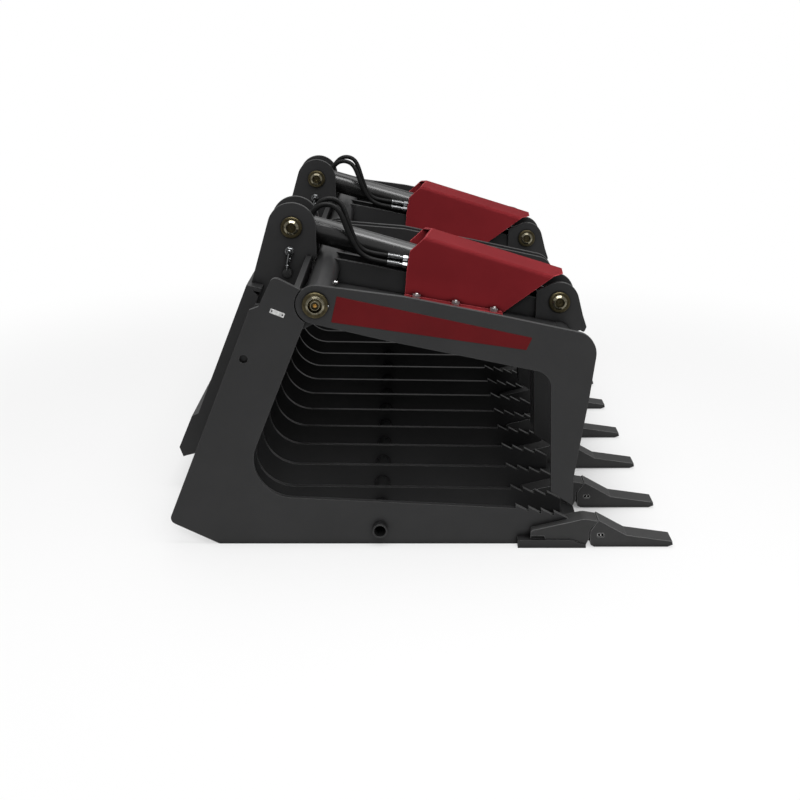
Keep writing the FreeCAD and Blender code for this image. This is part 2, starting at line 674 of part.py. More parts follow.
def rod_lug(y_low):
    """Lug plate beside the rib, from the skin and the front tube up round the rod pin."""
    lug_top = (ROD_LUG_BACK_X, ROD_PIN_Z + ROD_LUG_RISE)
    crown = tangent(ROD_PIN, ROD_LUG_R, lug_top, -1)
    chin = (ROD_PIN_X + ROD_LUG_CHIN, ROD_PIN_Z - ROD_LUG_CHIN_DROP)
    cheek = tangent(ROD_PIN, ROD_LUG_R, chin, 1)
    arc_top = (ROD_PIN_X + ROD_LUG_R * 0.6, ROD_PIN_Z + ROD_LUG_R * 0.8)
    front_x = FRONT_TUBE_X - SKIN_FRONT
    points = [(ROD_LUG_BACK_X, skin_z(ROD_LUG_BACK_X)), (front_x, skin_z(front_x)),
              (FRONT_TUBE_X + TORQUE_R * 0.7, FRONT_TUBE_Z),
              (ROD_PIN_X + ROD_LUG_HEEL, ROD_PIN_Z - ROD_LUG_HEEL_DROP),
              (ROD_PIN_X + (ROD_LUG_HEEL + ROD_LUG_TOE) / 2 + 2, ROD_PIN_Z - ROD_LUG_SOLE_DROP, 4),
              (ROD_PIN_X + ROD_LUG_TOE, ROD_PIN_Z - ROD_LUG_TOE_DROP), chin,
              (cheek[0], cheek[1], "arc", arc_top[0], arc_top[1]), crown, lug_top]
    y_high = y_low + PLATE
    return prism(points, y_low, y_high).cut([rod(FRONT_TUBE, TORQUE_R, y_low, y_high),
                                             rod(ROD_PIN, PIN_R, y_low, y_high)])


def skin_strip(y_low, y_high):
    """Closing sheet of the lid between two plates, from the torque tube to the front tube."""
    rear = HINGE_X + SKIN_REAR
    front = FRONT_TUBE_X - SKIN_FRONT
    points = [(rear, skin_z(rear)), (front, skin_z(front)), (front, skin_z(front) - SKIN_T),
              (rear, skin_z(rear) - SKIN_T)]
    tubes = [rod(HINGE, TORQUE_R, y_low, y_high), rod(FRONT_TUBE, TORQUE_R, y_low, y_high)]
    return prism(points, y_low, y_high).cut(tubes)


def skin(cylinder_y):
    """Three strips: outside the outer rib, between the ribs, and inside the inner rib."""
    half = TOWER_GAP / 2
    strips = [skin_strip(-LID_OUTER_Y, cylinder_y - half),
              skin_strip(cylinder_y - half + PLATE, cylinder_y + half - PLATE),
              skin_strip(cylinder_y + half, -LID_INNER_Y - PLATE)]
    clear = LUG_R + 6 * GAP
    strips[0] = strips[0].cut(rod(HINGE, clear, -LID_OUTER_Y, -SIDE_INNER + LUG_T + 4 * GAP))
    strips[2] = strips[2].cut(rod(HINGE, clear, -LID_INNER_Y - PLATE - LUG_T - 5 * GAP, -LID_INNER_Y))
    for index, holes in enumerate(bolt_holes(cylinder_y)):
        strips[2 * index] = strips[2 * index].cut(holes)
    return strips


def flange_middles(cylinder_y):
    """Y of the bolt row in each of the guard's two flanges."""
    reach = GUARD_HALF_W + GUARD_FLANGE / 2
    return [cylinder_y - reach, cylinder_y + reach]


def bolt_bar(x, y, radius, start, length):
    """Round bar square to the guard's flange; start is measured up from the flange's top face."""
    tilt = Vector(SKIN_FALL, 0, 1)
    tilt.normalize()
    return Part.makeCylinder(radius, length, at(x, skin_z(x) + GUARD_T, y) + tilt * start, tilt)


def bolt_holes(cylinder_y):
    depth = 2 * (GUARD_T + SKIN_T)
    rows = []
    for y in flange_middles(cylinder_y):
        rows.append([bolt_bar(x, y, BOLT_HOLE_D / 2, -depth, 2 * depth) for x in GUARD_BOLT_X])
    return rows


def guard_bolt(x, y):
    """Hex bolt through the guard's flange and the skin, with its nut below."""
    tilt = Vector(SKIN_FALL, 0, 1)
    tilt.normalize()
    top = at(x, skin_z(x) + GUARD_T, y)
    grip = GUARD_T + SKIN_T
    head = hex_bar(BOLT_HEAD_D, top, tilt, BOLT_HEAD_H)
    shank = bolt_bar(x, y, BOLT_D / 2, -grip - BOLT_HEAD_H * 1.5, grip + BOLT_HEAD_H * 2)
    nut = hex_bar(BOLT_HEAD_D, top - tilt * (grip + BOLT_HEAD_H), tilt, BOLT_HEAD_H)
    return head.fuse([shank, nut]).removeSplitter()


def roof_bar(half_w, drop, bend_r, y):
    """Gable-topped bar under the guard's sloping roof, drop below its outer face, with rounded eaves."""
    eave = guard_z(GUARD_REAR_X) - drop
    foot = skin_z(GUARD_REAR_X) - GUARD_T - drop
    section = outline([(-half_w, foot), (half_w, foot), (half_w, eave, bend_r), (0, eave + GUARD_RISE),
                       (-half_w, eave, bend_r)])
    section.rotate(at(0, 0), Vector(0, 0, 1), 90)
    section.translate(at(GUARD_REAR_X, 0, y))
    length = GUARD_EAVE_FRONT_X + GUARD_RAKE - GUARD_REAR_X
    return Part.Face(section).extrude(at(length, -length * GUARD_FALL))


def guard_side():
    """Side view of the guard, with raked ends under its roof."""
    heel = GUARD_HEEL_X
    front = GUARD_EAVE_FRONT_X
    rear = GUARD_EAVE_REAR_X
    above = guard_z(GUARD_REAR_X) + 2 * GUARD_RISE
    return [(GUARD_REAR_X, skin_z(GUARD_REAR_X)), (heel, skin_z(heel)), (front, guard_z(front)),
            (front + GUARD_RAKE, guard_z(front)), (front + GUARD_RAKE, above), (rear + GUARD_RAKE, above),
            (rear + GUARD_RAKE, guard_z(rear) + GUARD_RISE), (rear, guard_z(rear)),
            (GUARD_REAR_X + GUARD_SHOULDER, guard_z(rear) - GUARD_SHOULDER_DROP),
            (GUARD_REAR_X + GUARD_WAIST, guard_z(rear) - GUARD_WAIST_DROP)]


def guard(y):
    """Folded cover over the cylinder: two walls, a gable roof and bolting flanges along its foot."""
    inside = roof_bar(GUARD_HALF_W - GUARD_T, GUARD_T, GUARD_BEND_R - GUARD_T, y)
    shell = roof_bar(GUARD_HALF_W, 0, GUARD_BEND_R, y).cut(inside)
    cover = shell.common(prism(guard_side(), y - GUARD_HALF_W, y + GUARD_HALF_W))
    foot = [(GUARD_REAR_X, skin_z(GUARD_REAR_X)), (GUARD_HEEL_X, skin_z(GUARD_HEEL_X)),
            (GUARD_HEEL_X, skin_z(GUARD_HEEL_X) + GUARD_T), (GUARD_REAR_X, skin_z(GUARD_REAR_X) + GUARD_T)]
    flanges = []
    for middle, holes in zip(flange_middles(y), bolt_holes(y)):
        flanges.append(prism(foot, middle - GUARD_FLANGE / 2, middle + GUARD_FLANGE / 2).cut(holes))
    return cover.fuse(flanges).removeSplitter()


def hex_bar(across, foot, axis, length):
    ring = []
    side = Vector(0, 1, 0) if abs(axis.y) < 0.5 else Vector(1, 0, 0)
    other = axis.cross(side)
    other.normalize()
    corner_r = across / math.sqrt(3)
    for index in range(6):
        angle = math.radians(60 * index)
        ring.append(foot + side * (corner_r * math.cos(angle)) + other * (corner_r * math.sin(angle)))
    return Part.Face(Part.makePolygon(ring + ring[:1])).extrude(axis * length)


def barrel(y):
    """Cylinder body: base eye, tube, the port block under the guard and the inlets beside the eye."""
    eye = rod(BASE_PIN, EYE_R, y - EYE_W / 2, y + EYE_W / 2)
    tube = along(BARREL_D / 2, BARREL_START, GLAND_FACE - BARREL_START, y)
    foot_a = at(HOSE_A[0][0], HOSE_A[0][2], y + HOSE_A[0][1])
    foot_b = at(HOSE_B[0][0], HOSE_B[0][2], y + HOSE_B[0][1])
    leave_b = at(HOSE_B[1][0] - HOSE_B[0][0], HOSE_B[1][2] - HOSE_B[0][2])
    leave_b.normalize()
    boss = Part.makeCylinder(INLET_BOSS_D / 2, INLET_BLOCK, foot_b - leave_b * INLET_BLOCK, leave_b)
    corner = foot_a - at(INLET_BLOCK / 2, INLET_BLOCK, HOSE_D / 2 + INLET_WALL)
    block = Part.makeBox(INLET_BLOCK, -HOSE_A[0][1] - BARREL_D / 4, INLET_BLOCK, corner)
    body = eye.fuse([tube, boss, block, port_block(y)])
    bore = along(BORE_D / 2, BORE_START, CYL_LEN, y)
    return body.cut([rod(BASE_PIN, EYE_BORE_R, y - EYE_W, y + EYE_W), bore]).removeSplitter()


def port_block(y):
    """Welded block on the barrel's side that both ferrules screw into."""
    start, end = ferrule_ends()[0]
    axis = end - start
    axis.normalize()
    up = Vector(-axis.z, 0, axis.x)
    corner = end - up * PORT_BELOW + at(0, 0, y)
    ring = [corner, corner + up * PORT_H, corner + up * PORT_H + axis * PORT_LEN, corner + axis * PORT_LEN]
    outer = FERRULE_D / 2 + INLET_WALL
    face = Part.Face(Part.makePolygon(ring + ring[:1]))
    face.translate(at(0, 0, -outer))
    return face.extrude(at(0, 0, outer - HOSE_A[-1][1] - BARREL_D / 6))


def ferrule_ends():
    """Both ends of each crimped ferrule, in line with the last run of its hose."""
    ends = []
    for route in (HOSE_A, HOSE_B):
        last = at(route[-1][0], route[-1][2], route[-1][1])
        axis = last - at(route[-2][0], route[-2][2], route[-2][1])
        axis.y = 0
        axis.normalize()
        ends.append((last, last + axis * FERRULE_LEN))
    return ends


def ferrule(start, end, y):
    """Crimped shell with a hex nut that screws into the port block."""
    axis = end - start
    axis.normalize()
    foot = start + at(0, 0, y)
    shell = Part.makeCylinder(FERRULE_D / 2, FERRULE_LEN * FERRULE_SHELL, foot, axis)
    neck = Part.makeCylinder(FERRULE_D / 3, FERRULE_LEN, foot, axis)
    nut = hex_bar(FERRULE_D * 0.92, foot + axis * (FERRULE_LEN * 0.68), axis, FERRULE_LEN * 0.24)
    return shell.fuse([neck, nut]).removeSplitter()


def gland(y):
    """Threaded head that closes the barrel round the rod."""
    start = GLAND_FACE - GLAND_LEN
    ring = along(GLAND_D / 2, GLAND_FACE, GLAND_LIP, y).fuse(along(BORE_D / 2, start, GLAND_LEN, y))
    return ring.cut(along(ROD_D / 2 + FIT, start, GLAND_LEN + GLAND_LIP, y)).removeSplitter()


def piston_rod(y):
    """Chromed rod with its piston inside the barrel and its eye on the rod pin."""
    eye = rod(ROD_PIN, ROD_EYE_R, y - EYE_W / 2, y + EYE_W / 2)
    bar = along(ROD_D / 2, PISTON_FROM, CYL_LEN - PISTON_FROM - PIN_R / 2, y)
    piston = along(BORE_D / 2 - FIT, PISTON_FROM, PISTON_LEN, y)
    return eye.fuse([bar, piston]).cut(rod(ROD_PIN, PIN_R + FIT, y - EYE_W, y + EYE_W)).removeSplitter()


def hose(name, route, y):
    """Round tube swept along straight runs joined by tangent arcs."""
    points = [at(x, z, y + out) for x, out, z in route]
    runs = [points[i + 1] - points[i] for i in range(len(points) - 1)]
    edges = []
    radii = []
    here = points[0]
    for index in range(1, len(points) - 1):
        into = Vector(runs[index - 1])
        out = Vector(runs[index])
        cut = 0.45 * min(into.Length, out.Length)
        into.normalize()
        out.normalize()
        turn = into.getAngle(out)
        radii.append(round(cut / math.tan(turn / 2), 1))
        first = points[index] - into * cut
        last = points[index] + out * cut
        middle = out - into
        middle.normalize()
        radius = cut / math.tan(turn / 2)
        bow = radius / math.cos(turn / 2) - radius
        edges.append(Part.LineSegment(here, first).toShape())
        edges.append(Part.Arc(first, points[index] + middle * bow, last).toShape())
        here = last
    edges.append(Part.LineSegment(here, points[-1]).toShape())
    path = Part.Wire(edges)
    ring = Part.Wire(Part.makeCircle(HOSE_D / 2, points[0], runs[0]))
    tube = path.makePipeShell([ring], True, False)
    share = tube.Volume / (math.pi * HOSE_D ** 2 / 4 * path.Length)
    print(name, "length", round(path.Length, 1), "radii", radii, "volume share", round(share, 4))
    return tube


def hose_port(y):
    """Bulkhead elbow and its dark cap on the tower's outer plate."""
    face = y - CLEVIS_OUT
    spot = (BASE_PIN_X - HOSE_PORT_BACK, BASE_PIN_Z - HOSE_PORT_DROP)
    down = at(-math.sin(math.radians(PORT_LEAN)), -math.cos(math.radians(PORT_LEAN)))
    turn = at(spot[0], spot[1], face - HOSE_PORT_REACH + HOSE_PORT_D / 3)
    hexagon = hex_bar(HOSE_PORT_HEX, at(spot[0], spot[1], face), Vector(0, -1, 0), HOSE_PORT_HEX_T)
    neck = rod(spot, HOSE_PORT_D / 2, face - HOSE_PORT_REACH, face)
    spout = Part.makeCylinder(HOSE_PORT_D / 2, HOSE_PORT_LEN, turn, down)
    cap_start = turn + down * (HOSE_PORT_LEN - HOSE_PORT_D / 4)
    cap = Part.makeCylinder(HOSE_CAP_D / 2, HOSE_CAP_LEN, cap_start, down)
    return hexagon.fuse([neck, spout, cap]).removeSplitter()


def build_frame():
    plates = both(side_plate())
    save("side_plate_right", plates[0])
    save("side_plate_left", plates[1])
    cross = prism([(CROSS_REAR_X, CROSS_FOOT), (CROSS_FRONT_X, CROSS_FOOT), (CROSS_FRONT_X, CROSS_TOP),
                   (CROSS_REAR_X, CROSS_TOP)], -SIDE_INNER, SIDE_INNER)
    save("cross_plate", cross)
    for index in range(TINE_COUNT):
        bar = tine((index - (TINE_COUNT - 1) / 2) * TINE_PITCH)
        plates.append(bar)
        save("tine_%02d" % (index + 1), bar)
    save("bottom_tube", pipe((BOTTOM_TUBE_X, BOTTOM_TUBE_Z), BOTTOM_TUBE_D / 2, BOTTOM_TUBE_WALL,
                             -HALF_WIDTH - BOTTOM_TUBE_PROUD, HALF_WIDTH + BOTTOM_TUBE_PROUD))
    rod_reach = HALF_WIDTH - REAR_ROD_RECESS
    rear_rod = rod((REAR_ROD_X, REAR_ROD_Z), REAR_ROD_D / 2, -rod_reach, rod_reach)
    save("rear_rod", rear_rod)
    edge = cutting_edge()
    save("cutting_edge", edge)
    places = tooth_places()
    adapters = []
    for y in places:
        near = [plate for plate in plates if abs(plate.BoundBox.Center.y - y) < TOOTH_W / 2 + PLATE]
        adapters += adapter(y, near, edge).Solids
    save("tooth_adapters", *adapters)
    save("teeth", *[tooth(y) for y in places])
    save("tooth_pins", *[tooth_pin(y) for y in places])
    mount = attach_plate()
    save("attach_plate", mount)
    cutters = [mount, cross, rear_rod, rod(HINGE, TORQUE_R + TUBE_CLEAR, -HALF_WIDTH, HALF_WIDTH)]
    save("tower_right", *tower(-TOWER_Y, cutters))
    save("tower_left", *tower(TOWER_Y, cutters))
    inner_lug = -LID_INNER_Y - PLATE - GAP - LUG_T
    lugs = both(hinge_lug(-SIDE_INNER)) + both(hinge_lug(inner_lug))
    save("hinge_lugs", *lugs)
    outer_tail = -SIDE_INNER + LUG_T + PIN_TAIL
    inner_tail = inner_lug - PIN_TAIL
    outer_pin = flanged_pin(HINGE, HINGE_HEAD_D, -LID_OUTER_Y - PLATE - GAP - PIN_HEAD_T, outer_tail)
    inner_pin = flanged_pin(HINGE, HINGE_HEAD_D, -LID_INNER_Y + GAP + PIN_HEAD_T, inner_tail)
    save("hinge_pins", *(both(outer_pin) + both(inner_pin)))
    save("base_pins", headed_pin(BASE_PIN, -TOWER_Y), headed_pin(BASE_PIN, TOWER_Y))
    save("hose_ports", hose_port(-TOWER_Y), hose_port(TOWER_Y))


def build_lid(side):
    """One lid; the left one is the mirror image of the right one."""
    place = (lambda shape: shape) if side == "right" else mirrored
    y = -TOWER_Y
    outer_low = -LID_OUTER_Y - PLATE
    inner_low = -LID_INNER_Y - PLATE
    tube_from = -SIDE_INNER + LUG_T + 2 * GAP
    tube_to = inner_low - LUG_T - 2 * GAP
    bush = [pipe(HINGE, BUSH_D / 2, BUSH_D / 2 - PIN_R, low, low + PLATE) for low in (outer_low, inner_low)]
    save("lid_outer_plate_" + side, place(lid_plate(outer_low, HUB_R)))
    save("lid_inner_plate_" + side, place(lid_plate(inner_low, INNER_HUB_R)))
    save("lid_rib_outer_" + side, place(rib(y - TOWER_GAP / 2)), place(rod_lug(y - CLEVIS_OUT)))
    save("lid_rib_inner_" + side, place(rib(y + TOWER_GAP / 2 - PLATE)), place(rod_lug(y + TOWER_GAP / 2)))
    save("torque_tube_" + side, place(pipe(HINGE, TORQUE_R, TORQUE_TUBE_WALL, tube_from, tube_to)))
    save("front_tube_" + side, place(pipe(FRONT_TUBE, TORQUE_R, TORQUE_TUBE_WALL, -LID_OUTER_Y, inner_low)))
    save("lid_skin_" + side, *[place(strip) for strip in skin(y)])
    save("cylinder_guard_" + side, place(guard(y)))
    bolts = [guard_bolt(x, middle) for middle in flange_middles(y) for x in GUARD_BOLT_X]
    save("guard_bolts_" + side, *[place(bolt) for bolt in bolts])
    save("rod_pin_" + side, place(headed_pin(ROD_PIN, y)))
    save("hinge_bushings_" + side, *[place(ring) for ring in bush])


def build_cylinder(side, y):
    """Both cylinders carry their hoses on the right-hand side."""
    save("cylinder_barrel_" + side, barrel(y), gland(y))
    save("cylinder_rod_" + side, piston_rod(y))
    save("hose_a_" + side, hose("hose_a_" + side, HOSE_A, y))
    save("hose_b_" + side, hose("hose_b_" + side, HOSE_B, y))
    save("hose_ferrules_" + side, *[ferrule(start, end, y) for start, end in ferrule_ends()])


os.makedirs("parts", exist_ok=True)
build_frame()
build_lid("right")
build_lid("left")
build_cylinder("right", -TOWER_Y)
build_cylinder("left", TOWER_Y)
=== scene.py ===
import json
import math

import bmesh
import bpy
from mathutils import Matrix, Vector


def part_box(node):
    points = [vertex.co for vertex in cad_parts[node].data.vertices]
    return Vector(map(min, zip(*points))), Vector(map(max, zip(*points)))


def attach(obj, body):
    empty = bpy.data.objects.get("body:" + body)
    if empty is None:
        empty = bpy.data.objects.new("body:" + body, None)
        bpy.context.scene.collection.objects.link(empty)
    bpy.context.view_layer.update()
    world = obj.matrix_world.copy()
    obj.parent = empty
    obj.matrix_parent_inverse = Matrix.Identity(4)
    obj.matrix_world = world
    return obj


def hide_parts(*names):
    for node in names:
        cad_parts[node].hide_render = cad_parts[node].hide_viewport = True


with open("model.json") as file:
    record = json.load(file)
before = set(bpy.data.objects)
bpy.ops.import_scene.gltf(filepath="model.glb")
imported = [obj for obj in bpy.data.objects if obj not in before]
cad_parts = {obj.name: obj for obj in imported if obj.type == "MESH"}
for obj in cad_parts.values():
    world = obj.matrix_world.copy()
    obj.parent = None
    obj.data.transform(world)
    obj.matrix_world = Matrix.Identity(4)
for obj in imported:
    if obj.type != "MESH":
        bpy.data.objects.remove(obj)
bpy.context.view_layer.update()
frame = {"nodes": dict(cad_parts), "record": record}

bl_info = {
    "name": "Skeleton grapple",
    "version": (1, 0, 0),
    "blender": (4, 5, 0),
    "location": "View3D > Sidebar > Grapple",
    "description": "Finishes, hoses and small fittings of a skeleton grapple",
    "category": "Object",
}

SIDES = ("right", "left")
JOINTS = {joint["name"]: joint for joint in frame["record"]["behaviour"]["joints"]}

# Hose control points: X, distance out from the cylinder's middle plane, Z
HOSE_A = ((-0.2485, -0.036, 0.661), (-0.2485, -0.036, 0.683), (-0.2383, -0.036, 0.701),
          (-0.2207, -0.036, 0.7115), (-0.2003, -0.037, 0.711), (-0.1827, -0.040, 0.701),
          (-0.172, -0.045, 0.683), (-0.162, -0.051, 0.655), (-0.1505, -0.053, 0.627),
          (-0.1365, -0.053, 0.602), (-0.1185, -0.053, 0.586), (-0.093, -0.053, 0.5765),
          (-0.064, -0.053, 0.5717))
HOSE_B = ((-0.246, -0.022, 0.692), (-0.2305, -0.022, 0.7126), (-0.213, -0.022, 0.723),
          (-0.193, -0.023, 0.723), (-0.176, -0.026, 0.713), (-0.166, -0.032, 0.695),
          (-0.158, -0.0385, 0.670), (-0.149, -0.0397, 0.642), (-0.1385, -0.0397, 0.617),
          (-0.123, -0.0397, 0.600), (-0.099, -0.0397, 0.5915), (-0.062, -0.0397, 0.586))

# Crimped ferrule, from the hose's end towards the port block: distance along, radius
FERRULE_LENGTH = 0.0548
FERRULE_RADIUS = 0.0074
FERRULE_COLLAR = 0.0302
FERRULE_NUT = (0.0372, 0.0505)
CRIMPS = 6

# Corners of the red stripe on the near lid's outer plate: X, Z
STRIPE = ((-0.1663, 0.5758), (0.2576, 0.4838), (0.2451, 0.4564), (-0.1791, 0.5186))
STRIPE_THICKNESS = 0.0004

# Blank identity plate on the near rear post
TAG_CENTRE = (-0.2955, 0.5389)
TAG_SIZE = (0.0330, 0.0104)
TAG_TILT = math.radians(-21.5)
TAG_THICKNESS = 0.0010

# Places on the tower's outer plate: X, Z
PORT_NUT = (-0.3010, 0.6016)
PORT_KNOB = (-0.3003, 0.5829)
PORT_NECK = (-0.3060, 0.5700)
PORT_CAP = (-0.3071, 0.5490)

# Grease fitting, turned: distance along its axis, radius
NIPPLE = ((-0.0030, 0.0042), (0.0004, 0.0042), (0.0008, 0.0026), (0.0018, 0.0023), (0.0026, 0.0030),
          (0.0036, 0.0030), (0.0044, 0.0020), (0.0047, 0.0008))

# Place of the grease fitting on a torque tube: distance from the middle plane, lean above level
TUBE_NIPPLE_Y = 0.705
TUBE_NIPPLE_LEAN = math.radians(9.0)


class Value:
    """A shader socket that can stand in sums."""

    def __init__(self, surface, socket):
        self.surface = surface
        self.socket = socket

    def math(self, operation, *others):
        terms = dict(enumerate((self,) + others))
        return self.surface.node("ShaderNodeMath", {"operation": operation}, terms)

    def __add__(self, other):
        return self.math("ADD", other)

    def __radd__(self, other):
        return self.math("ADD", other)

    def __sub__(self, other):
        return self.math("SUBTRACT", other)

    def __rsub__(self, other):
        return self.surface.node("ShaderNodeMath", {"operation": "SUBTRACT"}, {0: other, 1: self})

    def __mul__(self, other):
        return self.math("MULTIPLY", other)

    def __rmul__(self, other):
        return self.math("MULTIPLY", other)

    def clamped(self):
        return self.math("MAXIMUM", 0.0).math("MINIMUM", 1.0)

    def step(self, low, high):
        """0 below low, 1 above high, smooth between."""
        settings = {"interpolation_type": "SMOOTHSTEP"}
        inputs = {"Value": self, "From Min": low, "From Max": high}
        return self.surface.node("ShaderNodeMapRange", settings, inputs)


class Surface:
    """The node tree of a material or of the world, under construction."""

    def __init__(self, owner):
        owner.use_nodes = True
        self.owner = owner
        self.tree = owner.node_tree
        self.tree.nodes.clear()

    def node(self, kind, settings=None, inputs=None, out=0):
        made = self.tree.nodes.new(kind)
        for key, setting in (settings or {}).items():
            setattr(made, key, setting)
        for key, term in (inputs or {}).items():
            if isinstance(term, Value):
                self.tree.links.new(term.socket, made.inputs[key])
            else:
                made.inputs[key].default_value = term
        return Value(self, made.outputs[out]) if len(made.outputs) else made

    def place(self):
        return self.node("ShaderNodeTexCoord", out="Object")

    def noise(self, scale, detail=3.0, roughness=0.5):
        inputs = {"Vector": self.place(), "Scale": scale, "Detail": detail, "Roughness": roughness}
        return self.node("ShaderNodeTexNoise", {}, inputs)

    def blend(self, factor, first, second):
        inputs = {0: factor, 6: first, 7: second}
        return self.node("ShaderNodeMix", {"data_type": "RGBA"}, inputs, out=2)

    def bump(self, height, strength, depth, normal=None):
        inputs = {"Strength": strength, "Distance": depth, "Height": height}
        if normal:
            inputs["Normal"] = normal
        return self.node("ShaderNodeBump", {}, inputs)

    def edge(self, radius):
        """Rounded-edge normal, and a mask that is 1 on a sharp edge of the steel."""
        normal = self.node("ShaderNodeBevel", {"samples": 6}, {"Radius": radius})
        flat = self.node("ShaderNodeNewGeometry", out="Normal")
        facing = self.node("ShaderNodeVectorMath", {"operation": "DOT_PRODUCT"}, {0: normal, 1: flat},
                           out="Value")
        return normal, (1.0 - facing).step(0.002, 0.05)

    def openness(self, reach):
        """0 in a crevice, 1 where nothing stands within reach."""
        return self.node("ShaderNodeAmbientOcclusion", {"samples": 6}, {"Distance": reach}, out="AO")

    def ray(self, kind):
        """1 for rays of a kind: "Camera", "Glossy" or "Transmission"."""
        return self.node("ShaderNodeLightPath", out="Is %s Ray" % kind)

    def finish(self, inputs):
        shader = self.node("ShaderNodeBsdfPrincipled", {}, inputs)
        self.node("ShaderNodeOutputMaterial", {}, {"Surface": shader})
        return self.owner


def new_surface(name):
    return Surface(bpy.data.materials.new(name))


def grey(level):
    return (level, level, level, 1.0)


def scaled(colour, factor):
    return tuple(min(1.0, channel * factor) for channel in colour[:3]) + (1.0,)


def painted(name, colour, edge_wear_and_highlight, roughness, shine, edge_radius=0.0016):
    """Powder coat: soft orange peel, faint cloudy gloss, painted shade in crevices, and lighter edges that
    are partly wear and partly a painted highlight.
    """
    surface = new_surface(name)
    normal, edge = surface.edge(edge_radius)
    cloud = surface.noise(scale=7.0, detail=4.0, roughness=0.6)
    grain = surface.noise(scale=160.0, detail=2.0)
    peel = surface.noise(scale=420.0, detail=2.0)
    scuff = surface.noise(scale=26.0, detail=6.0, roughness=0.7).step(0.56, 0.72)
    dull = scaled(colour, 0.86)
    painted_crevice_shade = scaled(colour, 0.05)
    base = surface.blend(cloud.step(0.35, 0.7), dull, colour)
    # Painted shade: ambient occlusion darkens the colour toward near-black in crevices and where parts meet
    base = surface.blend(surface.openness(reach=0.018).step(0.35, 0.92), painted_crevice_shade, base)
    # Lighter colour on sharp edges: partly wear, partly a painted highlight of the edge lines
    base = surface.blend((edge * (0.55 + 0.45 * grain)).clamped(), base, edge_wear_and_highlight)
    gloss = roughness - 0.05 + 0.10 * cloud + 0.05 * scuff + 0.04 * grain
    return surface.finish({"Base Color": base, "Roughness": gloss, "Specular IOR Level": shine,
                           "Normal": surface.bump(peel, 0.22, 0.0002, normal)})


def plated(name, colour, roughness, edge_share=0.5):
    """Plated steel: mottled passivate, fine turning marks and bright edges."""
    surface = new_surface(name)
    normal, edge = surface.edge(0.0006)
    mottle = surface.noise(90.0, 5.0, 0.65)
    fine = surface.noise(900.0, 2.0)
    base = surface.blend(mottle.step(0.35, 0.68), scaled(colour, 0.62), colour)
    base = surface.blend(edge * edge_share, base, scaled(colour, 1.9))
    gloss = roughness + 0.10 * mottle + 0.05 * fine
    return surface.finish({"Base Color": base, "Metallic": 1.0, "Roughness": gloss,
                           "Normal": surface.bump(fine, 0.15, 0.0001, normal)})


def chromed(name):
    """Ground and polished chrome with faint rings."""
    surface = new_surface(name)
    gloss = 0.08 + 0.08 * surface.noise(1400.0, 2.0) + 0.05 * surface.noise(30.0)
    tint = surface.blend(surface.noise(14.0), (0.50, 0.50, 0.51, 1.0), (0.60, 0.60, 0.61, 1.0))
    return surface.finish({"Base Color": tint, "Metallic": 1.0, "Roughness": gloss})


def barrel_gloss(name):
    """Glossier paint of the cylinder barrels."""
    surface = new_surface(name)
    cloud = surface.noise(12.0, 4.0)
    base = surface.blend(cloud, grey(0.004), grey(0.007))
    return surface.finish({"Base Color": base, "Roughness": 0.24 + 0.06 * cloud, "Specular IOR Level": 0.75,
                           "Normal": surface.bump(surface.noise(260.0, 2.0), 0.10, 0.0002)})


def hose_cover(name):
    """Wrapped rubber cover: fine cloth print and dusty dulling."""
    surface = new_surface(name)
    print_marks = surface.noise(620.0, 3.0)
    dust = surface.noise(40.0, 4.0).step(0.5, 0.8)
    base = surface.blend(dust * 0.5, grey(0.004), grey(0.009))
    gloss = 0.36 + 0.2 * print_marks
    return surface.finish({"Base Color": base, "Roughness": gloss, "Specular IOR Level": 0.16,
                           "Normal": surface.bump(print_marks, 0.35, 0.0003)})


def coat(name):
    """The named finish, built the first time that a piece asks for it."""
    look = bpy.context.scene.grapple
    recipes = {
        # Each painted finish's second colour is its lighter edge colour, partly wear and partly a painted
        # highlight
        "frame_black": lambda: painted(name, tuple(look.black), grey(0.062), 0.36, 0.25),
        "guard_red": lambda: painted(name, tuple(look.red), (0.52, 0.085, 0.095, 1.0), 0.45, 0.02, 0.0024),
        "stripe_red": lambda: painted(name, tuple(look.stripe), tuple(look.stripe), 0.40, 0.12),
        "tooth_grey": lambda: painted(name, grey(0.036), grey(0.20), 0.45, 0.12, 0.0022),
        # Near-black paint standing in for the shade in the tooth pins' recesses
        "pin_well": lambda: painted(name, grey(0.002), grey(0.002), 0.7, 0.05),
        "cap_rubber": lambda: painted(name, grey(0.016), grey(0.03), 0.6, 0.3),
        "olive_zinc": lambda: plated(name, tuple(look.pins), 0.34),
        "ring_polish": lambda: plated(name, (0.30, 0.275, 0.20, 1.0), 0.08, 0.0),
        "nipple_brass": lambda: plated(name, (0.50, 0.27, 0.07, 1.0), 0.22),
        "bright_zinc": lambda: plated(name, (0.27, 0.275, 0.28, 1.0), 0.10, 0.2),
        "pale_plating": lambda: plated(name, (0.88, 0.88, 0.87, 1.0), 0.30, 0.1),
        "hard_chrome": lambda: chromed(name),
        "barrel_gloss_black": lambda: barrel_gloss(name),
        "hose_cover": lambda: hose_cover(name),
    }
    return bpy.data.materials.get(name) or recipes[name]()


def assign(obj, material):
    obj.data.materials.clear()
    obj.data.materials.append(material)


